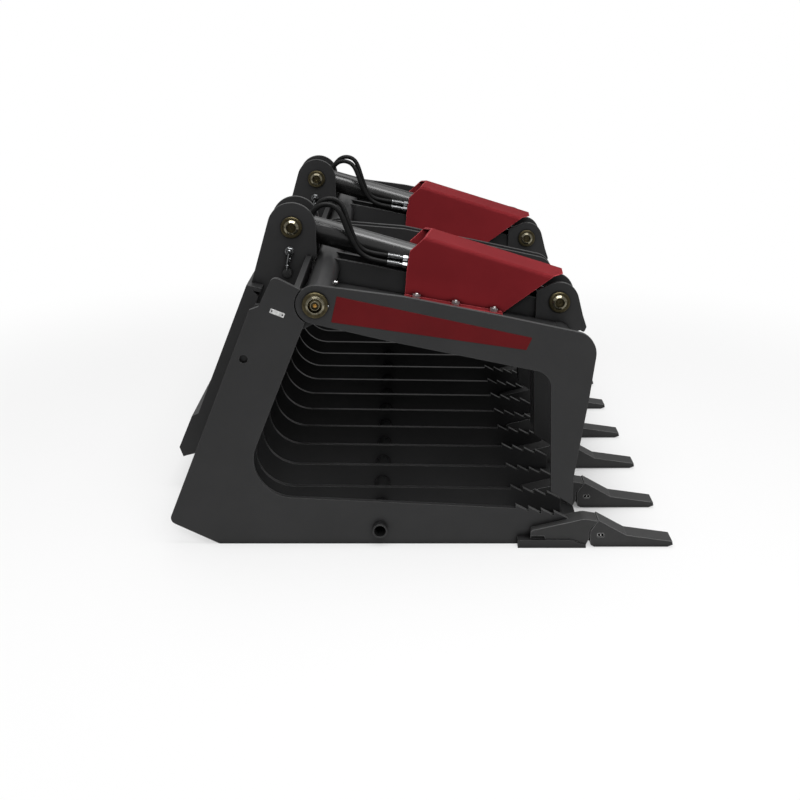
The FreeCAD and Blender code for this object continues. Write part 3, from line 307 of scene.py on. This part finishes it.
def new_mesh(name, data, material, angle=35.0):
    verts, faces = data
    mesh = bpy.data.meshes.new(name)
    mesh.from_pydata(verts, [], faces)
    mesh.validate()
    shape = bmesh.new()
    shape.from_mesh(mesh)
    bmesh.ops.remove_doubles(shape, verts=shape.verts, dist=1e-6)
    bmesh.ops.recalc_face_normals(shape, faces=shape.faces)
    shape.to_mesh(mesh)
    shape.free()
    mesh.shade_smooth()
    mesh.set_sharp_from_angle(angle=math.radians(angle))
    piece = bpy.data.objects.new(name, mesh)
    bpy.context.scene.collection.objects.link(piece)
    assign(piece, material)
    return piece


def add_piece(name, parts, finish, body, angle=35.0):
    """One mesh piece made of several closed parts; it rides on a body."""
    piece = new_mesh(name, join_data(parts), coat(finish), angle)
    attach(piece, body)
    return piece


def turned(profile, origin, axis, steps, ring=False):
    """Profile of (along, radius) pairs turned about an axis; a ring's profile closes on itself."""
    axis = Vector(axis).normalized()
    side = axis.orthogonal().normalized()
    other = axis.cross(side)
    verts = []
    for along, radius in profile:
        for step in range(steps):
            angle = 2 * math.pi * step / steps
            spoke = side * math.cos(angle) + other * math.sin(angle)
            verts.append(tuple(Vector(origin) + axis * along + spoke * radius))
    faces = []
    count = len(profile)
    for row in range(count if ring else count - 1):
        low = row * steps
        high = (row + 1) % count * steps
        for step in range(steps):
            after = (step + 1) % steps
            faces.append((low + step, low + after, high + after, high + step))
    if not ring:
        last = (count - 1) * steps
        faces.append(tuple(range(steps))[::-1])
        faces.append(tuple(range(last, last + steps)))
    return verts, faces


def torus_section(along, radius, thickness, steps=12):
    turns = [2 * math.pi * step / steps for step in range(steps)]
    return [(along + thickness * math.sin(turn), radius + thickness * math.cos(turn)) for turn in turns]


def join_data(parts):
    verts = []
    faces = []
    for some_verts, some_faces in parts:
        start = len(verts)
        verts += some_verts
        faces += [tuple(index + start for index in face) for face in some_faces]
    return verts, faces


def slab(points, y_low, y_high, rim):
    """Closed prism between two Y planes from a loop of (x, z) points, its outer rim drawn in by rim."""
    count = len(points)
    middle_x = sum(x for x, z in points) / count
    middle_z = sum(z for x, z in points) / count
    drawn = []
    for x, z in points:
        reach = math.hypot(x - middle_x, z - middle_z)
        share = 1.0 - rim / reach
        drawn.append((middle_x + (x - middle_x) * share, middle_z + (z - middle_z) * share))
    verts = [(x, y_high, z) for x, z in points] + [(x, y_low + rim, z) for x, z in points]
    verts += [(x, y_low, z) for x, z in drawn]
    faces = [tuple(range(count)), tuple(range(2 * count, 3 * count))[::-1]]
    for row in (0, count):
        for index in range(count):
            after = (index + 1) % count
            faces.append((row + index, row + after, row + count + after, row + count + index))
    return verts, faces


def rounded(corners, radius, steps=5):
    """Loop of (x, z) points with each corner turned into a short arc."""
    points = []
    count = len(corners)
    for index, (x, z) in enumerate(corners):
        here = Vector((x, z))
        back = (Vector(corners[index - 1]) - here).normalized()
        on = (Vector(corners[(index + 1) % count]) - here).normalized()
        half = back.angle(on) / 2
        centre = here + (back + on).normalized() * (radius / math.sin(half))
        first = here + back * (radius / math.tan(half)) - centre
        last = here + on * (radius / math.tan(half)) - centre
        for step in range(steps + 1):
            spoke = first.lerp(last, step / steps).normalized() * radius
            points.append(tuple(centre + spoke))
    return points


def bent_bar(route, radius, steps=14):
    """Round bar through a list of points, with a ring of vertices at each."""
    points = [Vector(point) for point in route]
    verts = []
    for index, point in enumerate(points):
        before = points[max(index - 1, 0)]
        after = points[min(index + 1, len(points) - 1)]
        along = (after - before).normalized()
        side = along.cross(Vector((1.0, 0.0, 0.0))).normalized()
        other = along.cross(side)
        for step in range(steps):
            angle = 2 * math.pi * step / steps
            verts.append(tuple(point + (side * math.cos(angle) + other * math.sin(angle)) * radius))
    faces = [tuple(range(steps))[::-1], tuple(range(len(verts) - steps, len(verts)))]
    for row in range(len(points) - 1):
        low = row * steps
        for step in range(steps):
            after = (step + 1) % steps
            faces.append((low + step, low + after, low + steps + after, low + steps + step))
    return verts, faces


def middle(node):
    """Middle of a node's box at rest."""
    low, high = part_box(node)
    return Vector([(a + b) / 2 for a, b in zip(low, high)])


def clusters(node, gap=0.02):
    """Boxes (low, high) of a node's separate solids, told apart by gaps along Y and then X."""
    source = frame["nodes"][node]
    groups = [[source.matrix_world @ vertex.co for vertex in source.data.vertices]]
    for axis in (1, 0):
        parted = []
        for group in groups:
            group.sort(key=lambda point: point[axis])
            run = [group[0]]
            for point in group[1:]:
                if point[axis] - run[-1][axis] > gap:
                    parted.append(run)
                    run = []
                run.append(point)
            parted.append(run)
        groups = parted
    boxes = []
    for group in groups:
        low = Vector([min(point[axis] for point in group) for axis in range(3)])
        high = Vector([max(point[axis] for point in group) for axis in range(3)])
        boxes.append((low, high))
    return boxes


def cylinder_y(side):
    """Y of a cylinder's middle plane."""
    return JOINTS["rod_pivot_" + side]["pos_m"][1]


class GrappleLook(bpy.types.PropertyGroup):
    """Colours and sizes that a user would change."""

    lens: bpy.props.FloatProperty(name="Lens", description="Focal length of the view",
                                  default=58.095, unit="CAMERA")
    black: bpy.props.FloatVectorProperty(name="Frame paint", description="Colour of the frame and lids",
                                         default=(0.0205, 0.0205, 0.0209, 1.0), size=4, subtype="COLOR")
    red: bpy.props.FloatVectorProperty(name="Guard paint", description="Colour of the cylinder guards",
                                       default=(0.165, 0.0150, 0.0185, 1.0), size=4, subtype="COLOR")
    stripe: bpy.props.FloatVectorProperty(name="Stripe", description="Colour of the lid's stripe",
                                          default=(0.090, 0.0040, 0.0055, 1.0), size=4, subtype="COLOR")
    pins: bpy.props.FloatVectorProperty(name="Pin plating", description="Colour of the plated pin heads",
                                        default=(0.100, 0.084, 0.046, 1.0), size=4, subtype="COLOR")
    hose: bpy.props.FloatProperty(name="Hose", description="Outer diameter of the hoses",
                                  default=0.0127, unit="LENGTH")


class GRAPPLE_OT_camera(bpy.types.Operator):
    """Camera at the photograph's viewing angle"""

    bl_idname = "grapple.camera"
    bl_label = "Camera"

    def execute(self, context):
        data = bpy.data.cameras.new("view")
        camera = bpy.data.objects.new("view", data)
        context.scene.collection.objects.link(camera)
        data.sensor_width = 36.0
        data.lens = context.scene.grapple.lens
        pitch = 16.985
        picture_width = 800.0
        centre_column = 406.45
        far_enough = 60.0
        data.shift_x = -(centre_column - picture_width / 2) / picture_width
        data.clip_end = far_enough
        camera.location = (-0.016, -3.6365, 1.174)
        camera.rotation_euler = (math.radians(90.0 - pitch), 0.0, 0.0)
        context.scene.camera = camera
        return {"FINISHED"}


def hose_curve(name, route, y, radius):
    data = bpy.data.curves.new(name, "CURVE")
    data.dimensions = "3D"
    data.resolution_u = 16
    data.bevel_depth = radius
    data.bevel_resolution = 8
    data.use_fill_caps = True
    spline = data.splines.new("NURBS")
    spline.points.add(len(route) - 1)
    for point, (x, out, z) in zip(spline.points, route):
        point.co = (x, y + out, z, 1.0)
    spline.order_u = 3
    spline.use_endpoint_u = True
    curve = bpy.data.objects.new(name, data)
    bpy.context.scene.collection.objects.link(curve)
    return curve


def hose_length(route, y):
    """Length of the smooth line that a route's points control."""
    curve = hose_curve("probe", route, y, 0.0)
    mesh = bpy.data.meshes.new_from_object(curve)
    points = [vertex.co.copy() for vertex in mesh.vertices]
    total = sum((after - before).length for before, after in zip(points, points[1:]))
    bpy.data.objects.remove(curve)
    bpy.data.meshes.remove(mesh)
    return total


def ferrule(route, y):
    """Crimped shell, collar and hex nut in line with the hose's last run."""
    start = Vector((route[-1][0], y + route[-1][1], route[-1][2]))
    before = Vector((route[-2][0], y + route[-1][1], route[-2][2]))
    axis = (start - before).normalized()
    pitch = FERRULE_COLLAR / (CRIMPS + 1)
    dent = 0.0008
    shell = [(0.0, FERRULE_RADIUS - 0.0012), (0.0006, FERRULE_RADIUS)]
    for index in range(CRIMPS):
        place = pitch * (index + 0.8)
        shell += [(place, FERRULE_RADIUS), (place + 0.0009, FERRULE_RADIUS - dent),
                  (place + 0.0020, FERRULE_RADIUS - dent), (place + 0.0029, FERRULE_RADIUS)]
    shell += [(FERRULE_COLLAR - 0.0008, FERRULE_RADIUS), (FERRULE_COLLAR, FERRULE_RADIUS - 0.001),
              (FERRULE_COLLAR, 0.0050), (FERRULE_LENGTH, 0.0050)]
    low, high = FERRULE_NUT
    face = FERRULE_RADIUS - 0.0012
    nut = [(low, face), (low + 0.0010, FERRULE_RADIUS + 0.0003), (high - 0.0010, FERRULE_RADIUS + 0.0003),
           (high, face)]
    return [turned(shell, start, axis, 36), turned(nut, start, axis, 6)]


class GRAPPLE_OT_hoses(bpy.types.Operator):
    """Two hydraulic hoses with crimped ferrules on each cylinder"""

    bl_idname = "grapple.hoses"
    bl_label = "Hoses"

    def execute(self, context):
        for side in SIDES:
            y = cylinder_y(side)
            ends = ferrule(HOSE_A, y) + ferrule(HOSE_B, y)
            ferrules = add_piece("ferrules_" + side, ends, "bright_zinc", "barrel_" + side,
                                 25.0)
            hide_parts("hose_ferrules_" + side)
            for letter, route in (("a", HOSE_A), ("b", HOSE_B)):
                fittings = [ferrules] if letter == "a" else []
                self.hose(context, "hose_%s_%s" % (letter, side), route, side, fittings)
        return {"FINISHED"}

    def hose(self, context, node, route, side, fittings):
        diameter = context.scene.grapple.hose
        y = cylinder_y(side)
        length = hose_length(route, y)
        piece = hose_curve(node + "_cover", route, y, diameter / 2)
        piece.data.materials.append(coat("hose_cover"))
        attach(piece, "barrel_" + side)
        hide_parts(node)
        y + route[0][1]


class GRAPPLE_OT_finishes(bpy.types.Operator):
    """Paint and plating of every steel piece"""

    bl_idname = "grapple.finishes"
    bl_label = "Finishes"

    SLOT_COATS = {"black_paint": "frame_black", "red_paint": "guard_red", "tooth_steel": "tooth_grey",
                  "yellow_zinc": "olive_zinc", "plated_fitting": "bright_zinc", "chrome": "hard_chrome",
                  "hose_rubber": "hose_cover"}
    SPECIAL_COATS = {"cylinder_barrel": "barrel_gloss_black", "guard_bolts": "pale_plating"}

    def execute(self, context):
        for part in frame["record"]["subparts"]:
            name = part["node"]
            finish = self.SLOT_COATS[part["material_slot"]]
            for start, special in self.SPECIAL_COATS.items():
                if name.startswith(start):
                    finish = special
            assign(frame["nodes"][name], coat(finish))
        return {"FINISHED"}


class GRAPPLE_OT_stripe(bpy.types.Operator):
    """Plain red stripe on the near lid's outer plate"""

    bl_idname = "grapple.stripe"
    bl_label = "Stripe"

    def execute(self, context):
        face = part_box("lid_outer_plate_right")[0][1]
        film = slab(rounded(STRIPE, 0.0015), face - STRIPE_THICKNESS, face + STRIPE_THICKNESS / 4,
                    STRIPE_THICKNESS / 4)
        add_piece("lid_stripe", [film], "stripe_red", "lid_right")
        return {"FINISHED"}


class GRAPPLE_OT_tag(bpy.types.Operator):
    """Blank riveted identity plate on the near rear post"""

    bl_idname = "grapple.tag"
    bl_label = "Identity plate"

    def execute(self, context):
        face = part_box("side_plate_right")[0][1]
        plate = slab(rounded(self.corners(), 0.0012), face - TAG_THICKNESS, face, TAG_THICKNESS / 4)
        add_piece("identity_plate", [plate], "pale_plating", "frame")
        rivets = []
        for end in (-1, 1):
            x, z = self.turn(end * (TAG_SIZE[0] / 2 - 0.0042), 0.0)
            dome = [(0.0, 0.0019), (0.0004, 0.0018), (0.0009, 0.0011), (0.0011, 0.0004)]
            rivets.append(turned(dome, (x, face - TAG_THICKNESS, z), (0, -1, 0), 16))
        add_piece("identity_rivets", rivets, "cap_rubber", "frame")
        return {"FINISHED"}

    def turn(self, along, up):
        cos = math.cos(TAG_TILT)
        sin = math.sin(TAG_TILT)
        return TAG_CENTRE[0] + along * cos - up * sin, TAG_CENTRE[1] + along * sin + up * cos

    def corners(self):
        half_length = TAG_SIZE[0] / 2
        half_height = TAG_SIZE[1] / 2
        signs = ((-1, -1), (1, -1), (1, 1), (-1, 1))
        return [self.turn(a * half_length, b * half_height) for a, b in signs]


class GRAPPLE_OT_pin_faces(bpy.types.Operator):
    """Polished rings, bosses and grease fittings on the pin heads"""

    bl_idname = "grapple.pin_faces"
    bl_label = "Pin faces"

    def execute(self, context):
        hinge = middle("hinge_pins")
        base = middle("base_pins")
        reach = (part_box("rod_pin_right")[1][1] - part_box("rod_pin_right")[0][1]) / 2
        hinge_low, hinge_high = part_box("hinge_pins")
        hinge_face = hinge_high[1]
        hinge_head = (hinge_high[2] - hinge_low[2]) / 2
        head = (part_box("base_pins")[1][2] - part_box("base_pins")[0][2]) / 2
        for side, sign in (("right", -1), ("left", 1)):
            self.hinge_face(side, Vector((hinge.x, sign * hinge_face, hinge.z)), sign, hinge_head)
            y = cylinder_y(side)
            rod = middle("rod_pin_" + side)
            for end in (-1, 1):
                where = "near" if end < 0 else "far"
                face = y + end * reach
                self.pin_face("base_pin_%s_%s" % (side, where), Vector((base.x, face, base.z)), end, head,
                              "frame")
                self.pin_face("rod_pin_%s_%s" % (side, where), Vector((rod.x, face, rod.z)), end, head,
                              "lid_" + side)
        return {"FINISHED"}

    def bevelled_ring(self, face, axis, outer, inner):
        """Raised ring whose sloping face catches the light, open in the middle."""
        crown = 0.0004 + (outer - inner) * 0.9
        section = [(-0.0034, outer), (0.0004, outer), (crown, inner), (crown, inner - 0.0010),
                   (-0.0034, inner - 0.0010)]
        return turned(section, face, axis, 64, True)

    def pin_face(self, name, face, sign, head, body):
        """Ring on the rim of the head's dish, and a drilled boss in its floor."""
        axis = (0, sign, 0)
        ring = self.bevelled_ring(face, axis, head * 0.69, head * 0.50)
        add_piece(name + "_ring", [ring], "ring_polish", body, 12.0)
        boss = [(-0.0031, head * 0.36), (-0.0016, head * 0.36), (-0.0008, head * 0.32),
                (-0.0008, head * 0.15), (-0.0024, head * 0.12)]
        rim = turned(torus_section(-0.0002, head * 0.84, 0.0007), face, axis, 56, True)
        add_piece(name + "_boss", [turned(boss, face, axis, 44), rim], "olive_zinc", body)

    def hinge_face(self, side, face, sign, head):
        name = "hinge_pin_" + side
        axis = (0, sign, 0)
        rings = [self.bevelled_ring(face, axis, head * 0.72, head * 0.58),
                 self.bevelled_ring(face, axis, head * 0.46, head * 0.34)]
        add_piece(name + "_ring", rings, "ring_polish", "frame", 12.0)
        boss = [(-0.0034, head * 0.50), (-0.0024, head * 0.49), (-0.0022, head * 0.24),
                (-0.0032, head * 0.22)]
        nib = turned([(-0.0060, 0.0019), (-0.0008, 0.0019), (0.0, 0.0012)],
                     face + Vector((head + 0.0003, 0, -0.0016)), axis, 18)
        rim = turned(torus_section(-0.0002, head * 0.85, 0.0007), face, axis, 60, True)
        add_piece(name + "_boss", [turned(boss, face, axis, 48), rim], "olive_zinc", "frame")
        add_piece(name + "_nib", [nib], "bright_zinc", "frame")
        nipple = turned(NIPPLE, face, axis, 24)
        add_piece(name + "_nipple", [nipple], "nipple_brass", "frame")


class GRAPPLE_OT_tooth_faces(bpy.types.Operator):
    """Two-lobed retaining pins seen in each tooth's sides, each on a near-black disc of painted shade where
    its recess lies
    """

    bl_idname = "grapple.tooth_faces"
    bl_label = "Tooth pin faces"

    def execute(self, context):
        rims = []
        shade_discs = []
        for low, high in clusters("tooth_pins"):
            centre = (low + high) / 2
            for sign, face in ((-1, low.y), (1, high.y)):
                for shift in (-0.0036, 0.0036):
                    spot = Vector((centre.x + shift, face, centre.z))
                    # Painted shade: a near-black disc, proud of the tooth's side, where the pin's recess
                    # would be
                    shade_disc = [(-0.0010, 0.0074), (0.0003, 0.0074), (0.0004, 0.0040), (0.0002, 0.0012)]
                    shade_discs.append(turned(shade_disc, spot, (0, sign, 0), 28))
                    rim = torus_section(0.0003, 0.0038, 0.0008, 8)
                    rims.append(turned(rim, spot, (0, sign, 0), 28, True))
        add_piece("tooth_pin_wells", shade_discs, "pin_well", "frame")
        add_piece("tooth_pin_rims", rims, "pale_plating", "frame")
        return {"FINISHED"}


class GRAPPLE_OT_fittings(bpy.types.Operator):
    """Hose port on each tower and the grease fitting of each torque tube"""

    bl_idname = "grapple.fittings"
    bl_label = "Fittings"

    def execute(self, context):
        ports = []
        caps = []
        for side in SIDES:
            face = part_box("tower_" + side)[0][1]
            ports += self.port(face)
            caps += self.cap(face)
        elbows = add_piece("hose_port_fittings", ports, "bright_zinc", "frame", 28.0)
        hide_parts("hose_ports")
        add_piece("hose_port_caps", caps, "cap_rubber", "frame")
        self.tube_nipples()
        for side in SIDES:
            caps = [self.bolt_cap(*box) for box in clusters("guard_bolts_" + side)]
            add_piece("guard_bolt_caps_" + side, caps, "pale_plating", "lid_" + side)
        return {"FINISHED"}

    def bolt_cap(self, low, high):
        """Domed end of the bolt above its hex head, square to the sloping flange."""
        fall = 0.18
        centre = (low + high) / 2
        top = Vector((centre.x + fall * (high.z - centre.z), centre.y, high.z - 0.0016))
        profile = [(-0.0010, 0.0046), (0.0016, 0.0046), (0.0030, 0.0040), (0.0040, 0.0027), (0.0044, 0.0010)]
        return turned(profile, top, (fall, 0, 1), 24)

    def tube_nipples(self):
        """Grease fitting on the front of each torque tube, clear of the outer rib."""
        for side, sign in (("right", -1), ("left", 1)):
            tube = middle("torque_tube_" + side)
            low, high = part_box("torque_tube_" + side)
            radius = (high[2] - low[2]) / 2
            out = Vector((math.cos(TUBE_NIPPLE_LEAN), 0, math.sin(TUBE_NIPPLE_LEAN)))
            foot = Vector((tube.x, sign * TUBE_NIPPLE_Y, tube.z)) + out * radius
            rise = 0.0028
            profile = [(along + rise, width * 1.1) for along, width in NIPPLE]
            nipple = turned(profile, foot, out, 20)
            add_piece("tube_nipple_" + side, [nipple], "pale_plating", "lid_" + side)

    def port(self, face):
        """Bulkhead nut on its washer, a bleed knob and the neck that runs down to the cap."""
        out = (0, -1, 0)
        x, z = PORT_NUT
        washer = turned([(0.0, 0.0112), (0.0014, 0.0112), (0.0018, 0.0106)], (x, face, z), out, 32)
        hexagon = [(0.0018, 0.0098), (0.0030, 0.0108), (0.0082, 0.0108), (0.0094, 0.0094)]
        nut = turned(hexagon, (x, face, z), out, 6)
        stud = turned([(0.0090, 0.0052), (0.0150, 0.0052), (0.0162, 0.0040)], (x, face, z), out, 24)
        ball = [(0.0, 0.0030), (0.0100, 0.0030), (0.0112, 0.0043), (0.0148, 0.0043), (0.0160, 0.0028)]
        knob = turned(ball, (PORT_KNOB[0], face, PORT_KNOB[1]), out, 20)
        top = Vector((x, face - 0.0125, z - 0.004))
        low = Vector((PORT_CAP[0], face - 0.0100, PORT_CAP[1] + 0.004))
        turn = Vector((PORT_NECK[0], face - 0.0150, PORT_NECK[1]))
        route = (top, top.lerp(turn, 0.35), top.lerp(turn, 0.75), turn, turn.lerp(low, 0.4), low)
        neck = bent_bar(route, 0.0034)
        collar = turned(torus_section(0.0, 0.0036, 0.0016), turn, low - turn, 18, True)
        return [washer, nut, stud, knob, neck, collar]

    def cap(self, face):
        """Domed plug with a grip groove."""
        profile = [(0.0, 0.0112), (0.0045, 0.0112), (0.0052, 0.0106), (0.0062, 0.0106), (0.0069, 0.0112),
                   (0.0120, 0.0112), (0.0134, 0.0104), (0.0141, 0.0088), (0.0143, 0.0040)]
        return [turned(profile, (PORT_CAP[0], face, PORT_CAP[1]), (0, -1, 0), 40)]


class GRAPPLE_OT_stage(bpy.types.Operator):
    """Pale floor, white surroundings and soft lamps"""

    bl_idname = "grapple.stage"
    bl_label = "Stage"

    def execute(self, context):
        reach = 14.0
        corners = [(-reach, -reach, 0), (reach, -reach, 0), (reach, reach, 0), (-reach, reach, 0)]
        new_mesh("floor", (corners, [(0, 1, 2, 3)]), self.floor_coat())
        self.surroundings(context.scene)
        self.lamp("top_lamp", (0.2, 0.5, 3.4), (0.0, 0.0, 0.2), (3.2, 3.2), 58.0)
        self.lamp("streak_lamp", (0.0, -1.15, 2.9), (0.0, -0.6, 0.5), (2.6, 0.80), 48.0)
        self.lamp("front_lamp", (0.3, -3.0, 1.9), (0.05, -0.9, 0.2), (2.6, 1.2), 50.0, mirrored=False)
        self.lamp("back_lamp", (0.1, 3.0, 2.3), (0.05, 0.9, 0.3), (2.6, 1.2), 30.0, mirrored=False)
        self.lamp("tooth_lamp", (3.2, -0.9, 2.0), (0.3, 0.0, 0.2), (1.6, 1.2), 12.0, mirrored=False)
        return {"FINISHED"}

    def floor_coat(self):
        """Matt white floor; its own white shows most away from the grapple, so the shadow stays; under the
        grapple its glow is cut as painted shade, and in reflections it glows near the grapple as a painted
        pool of light.
        """
        surface = new_surface("pale_floor")
        mottle = surface.noise(3.0, 3.0)
        colour = surface.blend(mottle * 0.3, grey(0.66), grey(0.63))
        matt = surface.node("ShaderNodeBsdfPrincipled", {}, {"Base Color": colour, "Roughness": 0.9})
        glow = surface.node("ShaderNodeEmission", {}, {"Color": grey(1.0), "Strength": 1.0})
        reach = surface.node("ShaderNodeVectorMath", {"operation": "LENGTH"}, {0: surface.place()},
                             out="Value")
        apart = surface.node("ShaderNodeSeparateXYZ", {}, {0: surface.place()}, out="X")
        deep = surface.node("ShaderNodeSeparateXYZ", {}, {0: surface.place()}, out="Y")
        # Painted shade: under the grapple's footprint the floor's glow drops to a quarter, darkening the
        # floor there on top of its real shadow
        clear = (apart.math("ABSOLUTE").step(0.42, 0.62) + deep.math("ABSOLUTE").step(0.78, 0.98)).clamped()
        direct = (surface.ray("Camera") + surface.ray("Transmission")).clamped()
        seen = direct * (0.66 + 0.34 * reach.step(0.95, 2.3))
        # Painted pool of light: in reflections the floor glows brightly near the grapple and fades to almost
        # nothing beyond three metres
        mirrored = surface.ray("Glossy") * (0.85 - 0.83 * reach.step(1.0, 3.0))
        share = (seen + mirrored) * (0.25 + 0.75 * clear)
        mixed = surface.node("ShaderNodeMixShader", {}, {0: share.clamped(), 1: matt, 2: glow})
        surface.node("ShaderNodeOutputMaterial", {}, {"Surface": mixed})
        return surface.owner

    def surroundings(self, scene):
        scene.world = bpy.data.worlds.new("white_room")
        surface = Surface(scene.world)
        seen = (surface.ray("Camera") + surface.ray("Transmission")).clamped()
        strength = 0.28 + 0.72 * seen + 0.16 * surface.ray("Glossy")
        sky = surface.node("ShaderNodeBackground", {}, {"Color": grey(1.0), "Strength": strength})
        surface.node("ShaderNodeOutputWorld", {}, {"Surface": sky})

    def lamp(self, name, place, target, size, power, mirrored=True):
        """Area lamp aimed at a target; metal and gloss show it where it is mirrored."""
        data = bpy.data.lights.new(name, "AREA")
        data.shape = "RECTANGLE"
        data.size, data.size_y = size
        data.energy = power
        lamp = bpy.data.objects.new(name, data)
        bpy.context.scene.collection.objects.link(lamp)
        lamp.location = place
        lamp.rotation_euler = (Vector(target) - Vector(place)).to_track_quat("-Z", "Y").to_euler()
        lamp.visible_camera = False
        lamp.visible_glossy = mirrored


OPERATORS = (GRAPPLE_OT_camera, GRAPPLE_OT_hoses, GRAPPLE_OT_finishes, GRAPPLE_OT_stripe, GRAPPLE_OT_tag,
             GRAPPLE_OT_pin_faces, GRAPPLE_OT_tooth_faces, GRAPPLE_OT_fittings, GRAPPLE_OT_stage)


class GRAPPLE_PT_panel(bpy.types.Panel):
    """Sidebar panel that lists the steps"""

    bl_idname = "GRAPPLE_PT_panel"
    bl_label = "Skeleton grapple"
    bl_space_type = "VIEW_3D"
    bl_region_type = "UI"
    bl_category = "Grapple"

    def draw(self, context):
        look = context.scene.grapple
        for name in ("lens", "black", "red", "stripe", "pins", "hose"):
            self.layout.prop(look, name)
        for operator in OPERATORS:
            self.layout.operator(operator.bl_idname)


CLASSES = (GrappleLook,) + OPERATORS + (GRAPPLE_PT_panel,)


def register():
    for item in CLASSES:
        bpy.utils.register_class(item)
    bpy.types.Scene.grapple = bpy.props.PointerProperty(type=GrappleLook)


def unregister():
    del bpy.types.Scene.grapple
    for item in reversed(CLASSES):
        bpy.utils.unregister_class(item)


def main():
    register()
    bpy.context.scene.view_settings.view_transform = "Standard"
    for operator in OPERATORS:
        name = operator.bl_idname.split(".")[1]
        getattr(bpy.ops.grapple, name)()


if __name__ == "__main__":
    main()
